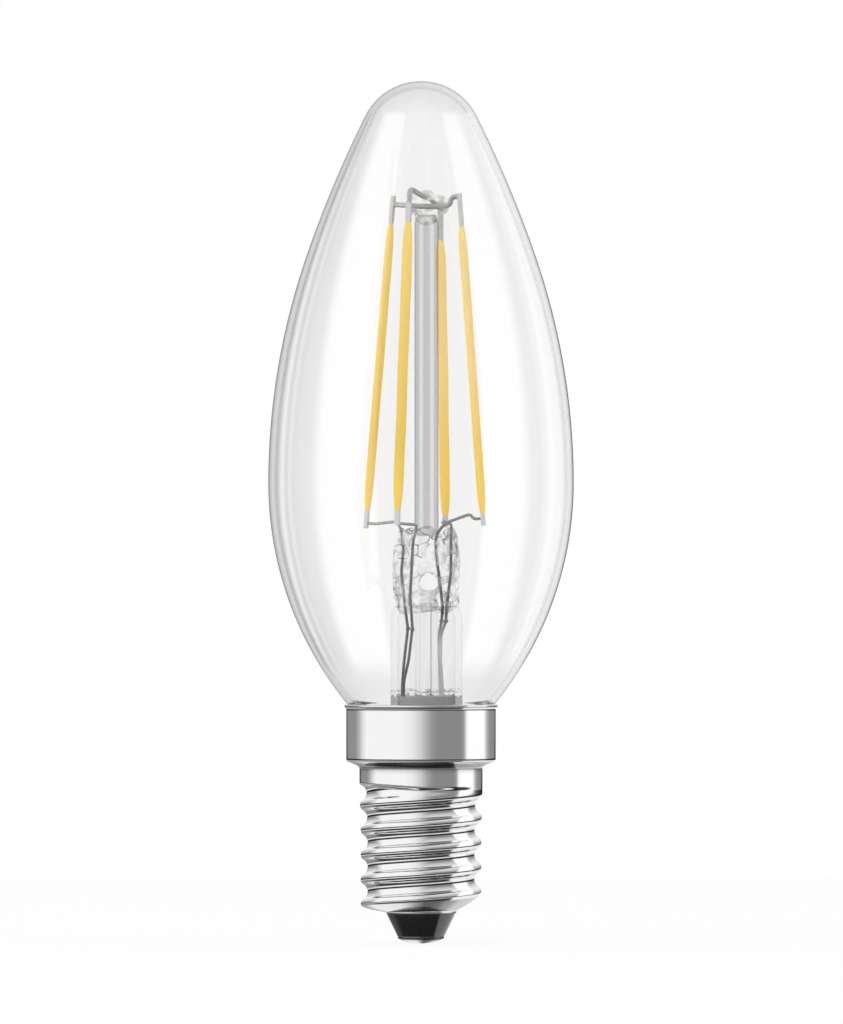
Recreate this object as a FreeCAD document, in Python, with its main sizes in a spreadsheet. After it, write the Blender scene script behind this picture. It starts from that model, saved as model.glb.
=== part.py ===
"""A candle lamp with four LED filaments on a screw cap, modelled at its real size in millimetres.

The lamp stands on the tip of its centre contact, which is the origin, with its axis along +Z. The
front is -Y. The glass, the cap and the driver are turned about the axis of the cap. The glass mount
inside the bulb leans on an axis of its own, a little to the right, as hand-made mounts do.
"""

import FreeCAD, Part
import math
import os
import Sketcher

Vector = FreeCAD.Vector
UP = Vector(0, 0, 1)

doc = FreeCAD.newDocument("CandleBulb")

# Driving dimensions, in millimetres and degrees
SIZES = [
    # the blown glass
    ("overall_length", 98.55, "contact tip to glass tip"),
    ("bulb_radius", 17.45, "widest part of the glass"),
    ("tip_radius", 7.1, "rounding of the glass tip"),
    ("belly_share", 0.6363, "share of the upper outline's turn that the belly arc makes"),
    ("flank_share", 0.8875, "share of that turn made where the flank arc ends"),
    ("lower_radius", 40.0, "arc from the widest part down to the cap"),
    ("glass_wall", 0.7, "wall of the bulb"),
    ("neck_depth", 5.15, "how far the glass neck reaches below the cap's rim"),
    # the screw cap
    ("cap_height", 27.35, "contact tip to the rim of the cap"),
    ("cap_sheet", 0.25, "sheet of the cap"),
    ("skirt_radius", 8.54, "outside of the skirt"),
    ("skirt_length", 6.0, "straight part of the skirt"),
    ("lip_radius", 8.74, "flared rim of the skirt"),
    ("lip_height", 0.45, "height of the flare"),
    ("rim_clearance", 0.05, "between the rim and the glass"),
    ("shoulder_height", 0.9, "cone between the skirt and the band below it"),
    ("band_radius", 7.03, "plain band above the thread"),
    ("band_length", 2.1, "straight part of the band"),
    ("band_slope", 0.7, "height of the slope from the band to the thread's root"),
    ("thread_pitch", 2.822, "nine turns to the inch"),
    ("thread_crest", 6.9, "radius of the thread's crest"),
    ("thread_depth", 0.8, "crest to root"),
    ("thread_base_share", 0.92, "width of the ridge's base against the pitch"),
    ("thread_overlap", 0.02, "how deep the ridge's foot lies in the wall"),
    ("thread_start_drop", 0.46, "start of the ridge's centre line below the end of the shell"),
    ("thread_run_out", 0.701, "how far that line climbs beside the band"),
    ("end_rounding", 2.3, "rounded lower end of the threaded part"),
    ("end_margin", 0.1, "room between the crest and that rounding"),
    ("end_height", 3.54, "underside of the threaded part"),
    ("mouth_radius", 3.75, "hole for the insulator"),
    # insulator and contact
    ("insulator_radius", 3.95, "top of the black cone under the cap"),
    ("insulator_foot_radius", 2.69, "foot of the cone"),
    ("insulator_grip_radius", 4.7, "what grips inside the cap"),
    ("insulator_grip_height", 1.81, "its height inside the cap"),
    ("contact_radius", 2.65, "centre contact"),
    ("contact_thickness", 0.8, "its height"),
    ("contact_edge", 0.3, "height of its straight edge"),
    ("contact_flat_radius", 0.8, "flat spot at its tip"),
    ("contact_dome_radius", 6.5, "rounding of its face"),
    ("shank_radius", 0.75, "rivet shank in the insulator"),
    ("shank_reach", 0.3, "how far the shank stands out of the insulator"),
    # cement and glass mount
    ("cement_thickness", 0.54, "between the neck and the skirt"),
    ("cement_margin", 0.15, "from the cement to the shoulder"),
    ("stem_offset", 0.63, "axis of the glass mount, to the right of the cap's axis"),
    ("flare_radius", 4.1, "outside of the flare tube"),
    ("flare_wall", 0.8, "its wall"),
    ("flare_length", 16.1, "from the seal to the foot of the press"),
    ("press_radius", 3.85, "half the width of the press"),
    ("press_depth", 3.8, "front to back"),
    ("press_height", 9.1, "height of the press"),
    ("press_rounding", 1.2, "rounding of its top"),
    ("press_slope", 2.6, "height over which the tube flattens"),
    ("exhaust_radius", 1.4, "outside of the exhaust tube"),
    ("exhaust_wall", 0.5, "its wall"),
    ("exhaust_socket", 1.5, "depth of the tube in the press"),
    ("exhaust_reach", 0.6, "how far its tipped-off end reaches below the seal"),
    ("blow_hole_radius", 1.1, "hole from the exhaust bore to the bulb"),
    ("blow_hole_shift", 0.51, "to the right of the mount's axis"),
    ("blow_hole_drop", 3.1, "below the top of the press"),
    ("rod_radius", 1.37, "glass rod on the press"),
    ("bead_headroom", 12.65, "top of the bead to the glass tip"),
    ("bead_radius", 2.15, "melted bead at the rod's top"),
    ("bead_height", 3.7, "height of the bead"),
    # wires
    ("lead_radius", 0.17, "lead wire"),
    ("knot_radius", 0.26, "weld knot on a lead wire"),
    ("weld_run", 0.9, "how far a lead wire runs in from the filament's strip before it turns"),
    ("anchor_radius", 0.3, "wire through the bead"),
    ("left_anchor_run", 1.1, "the same on the anchor wire at the left"),
    ("right_anchor_run", 0.75, "at the right"),
    ("back_anchor_run", 0.8, "at the back"),
    ("front_anchor_rise", 1.6, "how far the front anchor wire climbs in line with the filament"),
    ("board_lead_spread", 3.4, "where the lead wires meet the board, from its middle"),
    ("board_lead_rise", 1.4, "where they turn down, above the board"),
    ("board_lead_lap", 1.2, "how far they lie on the board"),
    ("plug_top", 6.2, "top of the potting plug above the seal"),
    ("plug_height", 2.0, "height of the plug"),
    # filaments
    ("filament_margin", 3.55, "what the coat leaves of the length from press to bead"),
    ("filament_width", 1.25, "wide side, which faces outwards"),
    ("filament_thickness", 0.95, "narrow side"),
    ("filament_taper", 0.5, "length of each tapered end"),
    ("filament_end_share", 0.62, "size of an end face against the full section"),
    ("cage_shift", 0.4, "axis of the ring of filaments, to the right of the cap's axis"),
    ("foot_ring_radius", 7.1, "filament feet about that axis"),
    ("head_ring_radius", 4.4, "filament heads about that axis"),
    ("tab_width", 0.6, "metal end strip"),
    ("tab_thickness", 0.4, "its thickness"),
    ("tab_chamfer", 0.15, "its cut corners"),
    # driver
    ("sleeve_clearance", 0.1, "between the insulating sleeve and the cap"),
    ("sleeve_wall", 0.25, "wall of the sleeve"),
    ("sleeve_stand", 0.9, "its lower end above the insulator"),
    ("sleeve_headroom", 1.2, "its upper end below the glass mount"),
    ("board_clearance", 0.05, "between the board and the sleeve"),
    ("board_thickness", 0.8, "driver board"),
    ("board_lift", 0.5, "its lower edge above the sleeve's lower end"),
    ("board_recess", 1.2, "its upper edge below the sleeve's upper end"),
    ("capacitor_radius", 2.4, "smoothing capacitor"),
    ("capacitor_length", 7.0, "its can"),
    ("capacitor_bottom", 1.6, "above the board's lower edge"),
    ("capacitor_wire_radius", 0.25, "its wires"),
    ("capacitor_wire_spacing", 2.0, "between them"),
    ("rectifier_width", 4.7, "bridge rectifier"),
    ("rectifier_length", 3.9, "along the lamp"),
    ("rectifier_depth", 2.5, "off the board"),
    ("rectifier_bottom", 0.6, "above the board's lower edge"),
    ("chip_width", 3.9, "driver chip"),
    ("chip_length", 4.9, "along the lamp"),
    ("chip_depth", 1.5, "off the board"),
    ("chip_bottom", 5.0, "above the board's lower edge"),
    ("pin_width", 0.4, "pins of the chip and the rectifier"),
    ("pin_reach", 0.8, "how far they stand out"),
    ("pin_thickness", 0.2, "their sheet"),
    ("chip_pin_spacing", 1.27, "pins of the chip"),
    ("rectifier_pin_spacing", 2.5, "pins of the rectifier"),
    ("resistor_length", 2.0, "sense resistor"),
    ("resistor_width", 1.25, "across"),
    ("resistor_depth", 0.5, "off the board"),
    ("resistor_spread", 4.0, "its centre from the board's middle"),
    ("resistor_bottom", 1.0, "above the board's lower edge"),
    ("fuse_radius", 1.0, "fusible resistor"),
    ("fuse_length", 5.0, "its body"),
    ("fuse_bottom", 2.0, "above the board's lower edge"),
    ("fuse_side", 3.6, "to the right of the axis"),
    ("fuse_front", 2.2, "in front of the axis"),
    ("fuse_wire_radius", 0.3, "its wires"),
    ("fuse_wire_rise", 1.2, "where its upper wire bends to the board"),
    ("centre_wire_drop", 0.3, "where its lower wire bends to the contact, below the board"),
    ("shell_wire_radius", 0.3, "insulated wire to the cap"),
    ("shell_wire_tail", 3.0, "how far it reaches down on the board, below the sleeve's upper end"),
    ("shell_wire_lap", 1.2, "how far it reaches down beside the sleeve"),
]

# Each filament: its foot and head as angles about the ring's axis from +X, the rise of its foot above the
# press, the length of its foot strip, the drop to the weld on it, the length of its head strip and the rise
# to the weld on that one
FILAMENTS = {
    "left": (157.7, 150.5, 1.95, 1.9, 1.3, 3.1, 2.1),
    "front": (244.5, 245.4, 2.0, 1.6, 1.3, 2.2, 2.2),
    "back": (70.2, 65.1, 1.4, 1.2, 0.6, 3.1, 2.6),
    "right": (-21.0, -16.0, 1.6, 1.2, 0.4, 3.7, 3.3),
}
FILAMENT_SIZES = (
    "foot_angle", "head_angle", "foot_rise", "foot_strip", "foot_weld", "head_strip", "head_weld",
)
for side, numbers in FILAMENTS.items():
    for size, number in zip(FILAMENT_SIZES, numbers):
        SIZES.append((f"{side}_{size}", number, f"{side} filament"))

# Places worked out from the driving dimensions
PLACES = [
    # where the glass sits on the rim of the cap
    ("skirt_inside", "Sizes.skirt_radius - Sizes.cap_sheet"),
    ("lip_inside", "Sizes.lip_radius - Sizes.cap_sheet"),
    ("neck_radius", "skirt_inside - Sizes.cement_thickness"),
    ("seat_radius", "lip_inside - Sizes.rim_clearance"),
    ("lower_centre", "Sizes.bulb_radius - Sizes.lower_radius"),
    ("seat_cos", "(seat_radius - lower_centre) / Sizes.lower_radius"),
    ("seat_sin", "sqrt(1 - seat_cos ^ 2)"),
    ("widest_height", "Sizes.cap_height + Sizes.lower_radius * seat_sin"),
    ("neck_rounding", "(seat_radius - neck_radius) / (1 - seat_cos)"),
    ("neck_rounding_height", "Sizes.cap_height - neck_rounding * seat_sin"),
    ("seal_height", "Sizes.cap_height - Sizes.neck_depth"),
    # the belly and flank arcs that join the widest part to the tip
    ("tip_centre", "Sizes.overall_length - Sizes.tip_radius"),
    ("rise", "tip_centre - widest_height"),
    ("one_arc", "(Sizes.bulb_radius ^ 2 - Sizes.tip_radius ^ 2 + rise ^ 2)"
     " / (2 * (Sizes.bulb_radius - Sizes.tip_radius))"),
    ("whole_turn", "asin(rise / (one_arc - Sizes.tip_radius))"),
    ("belly_cos", "cos(whole_turn * Sizes.belly_share)"),
    ("belly_sin", "sin(whole_turn * Sizes.belly_share)"),
    ("flank_cos", "cos(whole_turn * Sizes.flank_share)"),
    ("flank_sin", "sin(whole_turn * Sizes.flank_share)"),
    ("side_reach", "Sizes.bulb_radius - Sizes.tip_radius * flank_cos"),
    ("climb", "rise + Sizes.tip_radius * flank_sin"),
    ("arc_ratio", "(1 - belly_cos) * (flank_sin - belly_sin) - (belly_cos - flank_cos) * belly_sin"),
    ("belly_radius", "(side_reach * (flank_sin - belly_sin) - climb * (belly_cos - flank_cos)) / arc_ratio"),
    ("flank_radius", "((1 - belly_cos) * climb - belly_sin * side_reach) / arc_ratio"),
    ("belly_end", "Sizes.bulb_radius - belly_radius * (1 - belly_cos)"),
    ("belly_end_height", "widest_height + belly_radius * belly_sin"),
    # the cap
    ("skirt_top", "Sizes.cap_height - Sizes.lip_height"),
    ("skirt_bottom", "skirt_top - Sizes.skirt_length"),
    ("band_top", "skirt_bottom - Sizes.shoulder_height"),
    ("band_bottom", "band_top - Sizes.band_length"),
    ("root_radius", "Sizes.thread_crest - Sizes.thread_depth"),
    ("root_top", "band_bottom - Sizes.band_slope"),
    ("bore_radius", "root_radius - Sizes.cap_sheet"),
    ("shoulder_turn", "90 - atan(Sizes.shoulder_height / (Sizes.skirt_radius - Sizes.band_radius)) / 1 deg"),
    ("shoulder_shift", "Sizes.cap_sheet * tan(shoulder_turn / 2)"),
    ("slope_turn", "90 - atan(Sizes.band_slope / (Sizes.band_radius - root_radius)) / 1 deg"),
    ("slope_shift", "Sizes.cap_sheet * tan(slope_turn / 2)"),
    ("end_radius", "Sizes.thread_crest + Sizes.end_margin"),
    ("end_centre", "end_radius - Sizes.end_rounding"),
    ("end_centre_height", "Sizes.end_height + Sizes.end_rounding"),
    ("inner_rounding", "Sizes.end_rounding - Sizes.cap_sheet"),
    ("root_bottom", "end_centre_height - sqrt(Sizes.end_rounding ^ 2 - (root_radius - end_centre) ^ 2)"),
    ("bore_bottom", "end_centre_height - sqrt(inner_rounding ^ 2 - (bore_radius - end_centre) ^ 2)"),
    ("floor_height", "Sizes.end_height + Sizes.cap_sheet"),
    ("insulator_top", "floor_height + Sizes.insulator_grip_height"),
    ("shank_top", "insulator_top + Sizes.shank_reach"),
    # the thread's form: an arc for its crest, which meets the flanks half way down
    ("thread_start", "Sizes.end_height - Sizes.thread_start_drop"),
    ("thread_turns", "(band_bottom + Sizes.thread_run_out - thread_start) / Sizes.thread_pitch"),
    ("thread_middle", "Sizes.thread_crest - Sizes.thread_depth / 2"),
    ("thread_base_reach", "Sizes.thread_pitch * Sizes.thread_base_share / 2"),
    ("thread_foot", "root_radius - Sizes.thread_overlap"),
    ("thread_rounding", "(Sizes.thread_pitch ^ 2 / 4 + Sizes.thread_depth ^ 2) / (4 * Sizes.thread_depth)"),
    # the glass mount
    ("press_foot", "seal_height + Sizes.flare_length"),
    ("press_top", "press_foot + Sizes.press_height"),
    ("flare_inside", "Sizes.flare_radius - Sizes.flare_wall"),
    ("flare_rounding", "neck_radius - Sizes.glass_wall - Sizes.stem_offset - Sizes.flare_radius"),
    ("flare_bend_height", "seal_height + flare_rounding"),
    ("exhaust_bore", "Sizes.exhaust_radius - Sizes.exhaust_wall"),
    ("exhaust_tip_height", "seal_height - Sizes.exhaust_reach"),
    ("blow_hole_height", "press_top - Sizes.blow_hole_drop"),
    ("bead_top", "Sizes.overall_length - Sizes.bead_headroom"),
    ("bead_middle", "bead_top - Sizes.bead_height / 2"),
    ("bead_core", "Sizes.bead_radius - Sizes.bead_height / 2"),
    ("bead_foot", "bead_middle - sqrt(Sizes.bead_height ^ 2 / 4 - (Sizes.rod_radius - bead_core) ^ 2)"),
    ("filament_length", "bead_middle - press_top - Sizes.filament_margin"),
    # the driver
    ("sleeve_bottom", "insulator_top + Sizes.sleeve_stand"),
    ("sleeve_top", "seal_height - Sizes.flare_wall - Sizes.sleeve_headroom"),
    ("sleeve_radius", "bore_radius - Sizes.sleeve_clearance"),
    ("sleeve_inside", "sleeve_radius - Sizes.sleeve_wall"),
    ("board_half_width", "sqrt(sleeve_inside ^ 2 - Sizes.board_thickness ^ 2 / 4) - Sizes.board_clearance"),
    ("board_face", "Sizes.board_thickness / 2"),
    ("board_bottom", "sleeve_bottom + Sizes.board_lift"),
    ("board_top", "sleeve_top - Sizes.board_recess"),
]


def fill_sheet(name, rows):
    """A spreadsheet with a name in column A, its cell in column B and what it is in column C."""
    sheet = doc.addObject("Spreadsheet::Sheet", name)
    for number, (alias, content, *note) in enumerate(rows, start=1):
        sheet.set(f"A{number}", alias)
        sheet.set(f"B{number}", content)
        sheet.setAlias(f"B{number}", alias)
        if note:
            sheet.set(f"C{number}", note[0])
    return sheet


sizes = fill_sheet("Sizes", [(alias, str(number), note) for alias, number, note in SIZES])
places = fill_sheet("Places", [(alias, "=" + formula) for alias, formula in PLACES])
doc.recompute()


def value(expression):
    """The number that an expression on the two sheets gives now."""
    result = sizes.evalExpression(expression)
    return getattr(result, "Value", result)


# Helpers for sketches
ORIGIN_POINT = (-1, 1)
VERTICAL_AXIS_INDEX = -2
HORIZONTAL_AXIS_INDEX = -1


def new_body(label):
    body = doc.addObject("PartDesign::Body", label)
    body.Label = label
    return body


def new_sketch(body, name, role="XZ_Plane"):
    plane = next(feature for feature in body.Origin.OriginFeatures if feature.Role == role)
    sketch = body.newObject("Sketcher::SketchObject", name)
    sketch.AttachmentSupport = [(plane, "")]
    sketch.MapMode = "FlatFace"
    return sketch


def bind(sketch, kind, items, formula):
    """Add one dimension to a sketch and tie it to the sheets."""
    index = sketch.addConstraint(Sketcher.Constraint(kind, *items, value(formula)))
    sketch.setExpression(f"Constraints[{index}]", formula)


def place_point(sketch, item, across, along):
    """Tie a point to its two distances from the sketch's origin."""
    pairs = ((across, "DistanceX", VERTICAL_AXIS_INDEX), (along, "DistanceY", HORIZONTAL_AXIS_INDEX))
    for formula, kind, axis in pairs:
        if formula == "0":
            sketch.addConstraint(Sketcher.Constraint("PointOnObject", *item, axis))
        else:
            bind(sketch, kind, (*ORIGIN_POINT, *item), formula)


def minor_arc(start, end, radius):
    """The arc shorter than half a turn between two points. It turns left for a positive radius."""
    chord = end - start
    across = Vector(-chord.y, chord.x, 0).normalize()
    height = math.sqrt(max(radius ** 2 - (chord.Length / 2) ** 2, 0))
    centre = (start + end) / 2 + across * math.copysign(height, radius)
    first, last = (start, end) if radius > 0 else (end, start)
    angles = [math.atan2((point - centre).y, (point - centre).x) for point in (first, last)]
    return Part.ArcOfCircle(Part.Circle(centre, UP, abs(radius)), *angles)


def outline(sketch, *steps):
    """A closed outline. Each step is (across, along) or, for an arc that ends there, (across, along, radius).
    A radius with a minus sign turns right. The side that closes the outline ends at the first step."""
    points = [Vector(value(step[0]), value(step[1]), 0) for step in steps]
    ends = []
    for number, step in enumerate(steps):
        start, end = points[number - 1], points[number]
        if len(step) == 3:
            radius = value(step[2])
            side = sketch.addGeometry(minor_arc(start, end, radius))
            bind(sketch, "Radius", (side,), f"abs({step[2]})")
            ends.append((side, 1, 2) if radius > 0 else (side, 2, 1))
        else:
            side = sketch.addGeometry(Part.LineSegment(start, end))
            ends.append((side, 1, 2))
    for number, step in enumerate(steps):
        side, _, last = ends[number]
        following, first, _ = ends[(number + 1) % len(steps)]
        sketch.addConstraint(Sketcher.Constraint("Coincident", side, last, following, first))
        place_point(sketch, (side, last), step[0], step[1])


def circle(sketch, across, along, radius):
    centre = Vector(value(across), value(along), 0)
    edge = sketch.addGeometry(Part.Circle(centre, UP, value(radius)))
    place_point(sketch, (edge, 3), across, along)
    bind(sketch, "Radius", (edge,), radius)


def turn(body, name, *steps, kind="Revolution"):
    """Turn an outline in the XZ plane about the Z axis, to add to a body or with Groove to cut it."""
    sketch = new_sketch(body, f"{name}_outline")
    outline(sketch, *steps)
    feature = body.newObject(f"PartDesign::{kind}", name)
    feature.Profile = sketch
    feature.ReferenceAxis = (sketch, ["V_Axis"])
    feature.Angle = 360
    return feature


def turned_part(label, *steps):
    body = new_body(label)
    turn(body, f"{label}_turned", *steps)
    return body


# Helpers for wires, which are round sections swept along straight runs joined by tangent arcs
LARGEST_BEND = 3.0
RUN_SHARE = 0.45
LEAST_TURN = math.radians(0.5)


def rounded_route(points):
    """A wire through points. Each corner becomes an arc as large as its two runs allow."""
    edges = []
    start = points[0]
    for before, corner, after in zip(points, points[1:], points[2:]):
        arriving = corner - before
        leaving = after - corner
        half_turn = arriving.getAngle(leaving) / 2
        if half_turn < LEAST_TURN:
            continue
        shorter = min(arriving.Length, leaving.Length)
        bend = min(LARGEST_BEND, RUN_SHARE * shorter / math.tan(half_turn))
        setback = bend * math.tan(half_turn)
        arriving.normalize()
        leaving.normalize()
        arc_start = corner - arriving * setback
        arc_end = corner + leaving * setback
        inward = (leaving - arriving).normalize()
        middle = corner + inward * (bend / math.cos(half_turn) - bend)
        edges.append(Part.LineSegment(start, arc_start).toShape())
        edges.append(Part.Arc(arc_start, middle, arc_end).toShape())
        start = arc_end
    edges.append(Part.LineSegment(start, points[-1]).toShape())
    return Part.Wire(edges)


def wire_along(label, points, radius_size):
    """A round wire whose radius is bound to the sheet."""
    route = doc.addObject("Part::Feature", f"{label}_route")
    route.Shape = rounded_route(points)
    section = doc.addObject("Part::Circle", f"{label}_section")
    section.setExpression("Radius", radius_size)
    section.Placement = FreeCAD.Placement(points[0], FreeCAD.Rotation(UP, points[1] - points[0]))
    wire = doc.addObject("Part::Sweep", label)
    wire.Label = label
    wire.Sections = [section]
    wire.Spine = (route, [f"Edge{number + 1}" for number in range(len(route.Shape.Edges))])
    wire.Solid = True
    return wire


def joined(label, shapes):
    fuse = doc.addObject("Part::MultiFuse", label)
    fuse.Label = label
    fuse.Shapes = shapes
    return fuse


def cut_by(label, base, tools):
    """A piece less the pieces that pass through it."""
    cut = doc.addObject("Part::Cut", label)
    cut.Label = label
    cut.Base = base
    cut.Tool = tools[0] if len(tools) == 1 else joined(f"{label}_tools", tools)
    return cut


# The blown glass: tip, flank, belly and lower arcs, then the neck inside the cap
glass_envelope = turned_part(
    "glass_envelope",
    ("0", "Sizes.overall_length - Sizes.glass_wall"),
    ("(Sizes.tip_radius - Sizes.glass_wall) * Places.flank_cos",
     "Places.tip_centre + (Sizes.tip_radius - Sizes.glass_wall) * Places.flank_sin",
     "Sizes.glass_wall - Sizes.tip_radius"),
    ("Places.belly_end - Sizes.glass_wall * Places.belly_cos",
     "Places.belly_end_height - Sizes.glass_wall * Places.belly_sin",
     "Sizes.glass_wall - Places.flank_radius"),
    ("Sizes.bulb_radius - Sizes.glass_wall", "Places.widest_height",
     "Sizes.glass_wall - Places.belly_radius"),
    ("Places.seat_radius - Sizes.glass_wall * Places.seat_cos",
     "Sizes.cap_height + Sizes.glass_wall * Places.seat_sin",
     "Sizes.glass_wall - Sizes.lower_radius"),
    ("Places.neck_radius - Sizes.glass_wall", "Places.neck_rounding_height",
     "Places.neck_rounding + Sizes.glass_wall"),
    ("Places.neck_radius - Sizes.glass_wall", "Places.seal_height"),
    ("Places.neck_radius", "Places.seal_height"),
    ("Places.neck_radius", "Places.neck_rounding_height"),
    ("Places.seat_radius", "Sizes.cap_height", "-Places.neck_rounding"),
    ("Sizes.bulb_radius", "Places.widest_height", "Sizes.lower_radius"),
    ("Places.belly_end", "Places.belly_end_height", "Places.belly_radius"),
    ("Sizes.tip_radius * Places.flank_cos", "Places.tip_centre + Sizes.tip_radius * Places.flank_sin",
     "Places.flank_radius"),
    ("0", "Sizes.overall_length", "Sizes.tip_radius"),
)

# The screw cap: skirt, shoulder, band and rolled thread, open inside
cap_shell = new_body("cap_shell")
turn(
    cap_shell, "cap_blank",
    ("0", "Sizes.end_height"),
    ("Places.end_centre", "Sizes.end_height"),
    ("Places.root_radius", "Places.root_bottom", "Sizes.end_rounding"),
    ("Places.root_radius", "Places.root_top"),
    ("Sizes.band_radius", "Places.band_bottom"),
    ("Sizes.band_radius", "Places.band_top"),
    ("Sizes.skirt_radius", "Places.skirt_bottom"),
    ("Sizes.skirt_radius", "Places.skirt_top"),
    ("Sizes.lip_radius", "Places.skirt_top + Sizes.lip_height / 3"),
    ("Sizes.lip_radius", "Sizes.cap_height"),
    ("0", "Sizes.cap_height"),
)

# The ridge starts inside the wall, so that it joins the blank all along
ridge_sketch = new_sketch(cap_shell, "thread_ridge_outline")
outline(
    ridge_sketch,
    ("Places.root_radius - Sizes.cap_sheet * 2", "Places.thread_start - Places.thread_base_reach"),
    ("Places.thread_foot", "Places.thread_start - Places.thread_base_reach"),
    ("Places.thread_middle", "Places.thread_start - Sizes.thread_pitch / 4"),
    ("Places.thread_middle", "Places.thread_start + Sizes.thread_pitch / 4", "Places.thread_rounding"),
    ("Places.thread_foot", "Places.thread_start + Places.thread_base_reach"),
    ("Places.root_radius - Sizes.cap_sheet * 2", "Places.thread_start + Places.thread_base_reach"),
)
thread_ridge = cap_shell.newObject("PartDesign::AdditiveHelix", "thread_ridge")
thread_ridge.Profile = ridge_sketch
thread_ridge.ReferenceAxis = (ridge_sketch, ["V_Axis"])
thread_ridge.Mode = "pitch-turns-angle"
thread_ridge.setExpression("Pitch", "Sizes.thread_pitch")
thread_ridge.setExpression("Turns", "Places.thread_turns")
thread_ridge.Angle = 0

# What stands outside the rounded lower end is cut away, with the start of the ridge below it
turn(
    cap_shell, "rounded_end",
    ("0", "Sizes.end_height"),
    ("0", "Sizes.end_height - Sizes.thread_pitch * 2"),
    ("Places.end_radius + Sizes.thread_depth", "Sizes.end_height - Sizes.thread_pitch * 2"),
    ("Places.end_radius + Sizes.thread_depth", "Places.end_centre_height"),
    ("Places.end_radius", "Places.end_centre_height"),
    ("Places.end_centre", "Sizes.end_height", "-Sizes.end_rounding"),
    kind="Groove",
)
turn(
    cap_shell, "cap_hollow",
    ("0", "Sizes.end_height"),
    ("Sizes.mouth_radius", "Sizes.end_height"),
    ("Sizes.mouth_radius", "Places.floor_height"),
    ("Places.end_centre", "Places.floor_height"),
    ("Places.bore_radius", "Places.bore_bottom", "Places.inner_rounding"),
    ("Places.bore_radius", "Places.root_top + Places.slope_shift"),
    ("Sizes.band_radius - Sizes.cap_sheet", "Places.band_bottom + Places.slope_shift"),
    ("Sizes.band_radius - Sizes.cap_sheet", "Places.band_top + Places.shoulder_shift"),
    ("Places.skirt_inside", "Places.skirt_bottom + Places.shoulder_shift"),
    ("Places.skirt_inside", "Places.skirt_top"),
    ("Places.lip_inside", "Places.skirt_top + Sizes.lip_height / 3"),
    ("Places.lip_inside", "Sizes.cap_height"),
    ("0", "Sizes.cap_height"),
    kind="Groove",
)

# The insulator is pressed through the mouth of the cap and grips above and below its floor
cap_insulator = turned_part(
    "cap_insulator",
    ("Sizes.shank_radius", "Sizes.contact_thickness"),
    ("Sizes.insulator_foot_radius", "Sizes.contact_thickness"),
    ("Sizes.insulator_radius", "Sizes.end_height"),
    ("Sizes.mouth_radius", "Sizes.end_height"),
    ("Sizes.mouth_radius", "Places.floor_height"),
    ("Sizes.insulator_grip_radius", "Places.floor_height"),
    ("Sizes.insulator_grip_radius", "Places.insulator_top"),
    ("Sizes.shank_radius", "Places.insulator_top"),
)

# The centre contact is a domed rivet
centre_contact = turned_part(
    "centre_contact",
    ("0", "0"),
    ("Sizes.contact_flat_radius", "0"),
    ("Sizes.contact_radius", "Sizes.contact_thickness - Sizes.contact_edge", "Sizes.contact_dome_radius"),
    ("Sizes.contact_radius", "Sizes.contact_thickness"),
    ("Sizes.shank_radius", "Sizes.contact_thickness"),
    ("Sizes.shank_radius", "Places.shank_top"),
    ("0", "Places.shank_top"),
)

# The cement fills the skirt around the neck
cement_bottom = "Places.skirt_bottom + Places.shoulder_shift + Sizes.cement_margin"
capping_cement = turned_part(
    "capping_cement",
    ("Places.neck_radius", cement_bottom),
    ("Places.skirt_inside", cement_bottom),
    ("Places.skirt_inside", "Places.neck_rounding_height"),
    ("Places.neck_radius", "Places.neck_rounding_height"),
)

# The glass mount, turned about its own axis and then set to the right of the cap's axis
stem_blank = new_body("stem_blank")
turn(
    stem_blank, "stem_turned",
    ("0", "Places.seal_height - Sizes.flare_wall"),
    ("Places.neck_radius - Sizes.stem_offset", "Places.seal_height - Sizes.flare_wall"),
    ("Places.neck_radius - Sizes.stem_offset", "Places.seal_height"),
    ("Sizes.flare_radius + Places.flare_rounding", "Places.seal_height"),
    ("Sizes.flare_radius", "Places.flare_bend_height", "-Places.flare_rounding"),
    ("Sizes.flare_radius", "Places.press_foot - Sizes.press_rounding / 2"),
    ("Sizes.press_radius", "Places.press_foot + Sizes.press_rounding / 2"),
    ("Sizes.press_radius", "Places.press_top - Sizes.press_rounding"),
    ("Sizes.press_radius - Sizes.press_rounding", "Places.press_top", "Sizes.press_rounding"),
    ("0", "Places.press_top"),
)

# The rim of the flare is fused to the neck's end, so it is round about the cap's axis
rim_sketch = new_sketch(stem_blank, "flare_rim_outline", "XY_Plane")
rim_sketch.setExpression("AttachmentOffset.Base.z", "Places.seal_height - Sizes.flare_wall")
circle(rim_sketch, "-Sizes.stem_offset", "0", "Places.neck_radius")
flare_rim = stem_blank.newObject("PartDesign::Pad", "flare_rim")
flare_rim.Profile = rim_sketch
flare_rim.setExpression("Length", "Sizes.flare_wall")

turn(
    stem_blank, "stem_hollow",
    ("0", "Places.seal_height - Sizes.flare_wall"),
    ("Sizes.flare_radius + Places.flare_rounding", "Places.seal_height - Sizes.flare_wall"),
    ("Places.flare_inside", "Places.flare_bend_height", "-(Places.flare_rounding + Sizes.flare_wall)"),
    ("Places.flare_inside", "Places.press_foot - Sizes.press_slope / 2"),
    ("Sizes.exhaust_radius", "Places.press_foot"),
    ("Sizes.exhaust_radius", "Places.press_foot + Sizes.exhaust_socket"),
    ("Places.exhaust_bore", "Places.press_foot + Sizes.exhaust_socket"),
    ("Places.exhaust_bore", "Places.blow_hole_height - Places.exhaust_bore"),
    ("0", "Places.blow_hole_height", "Places.exhaust_bore"),
    kind="Groove",
)

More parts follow.
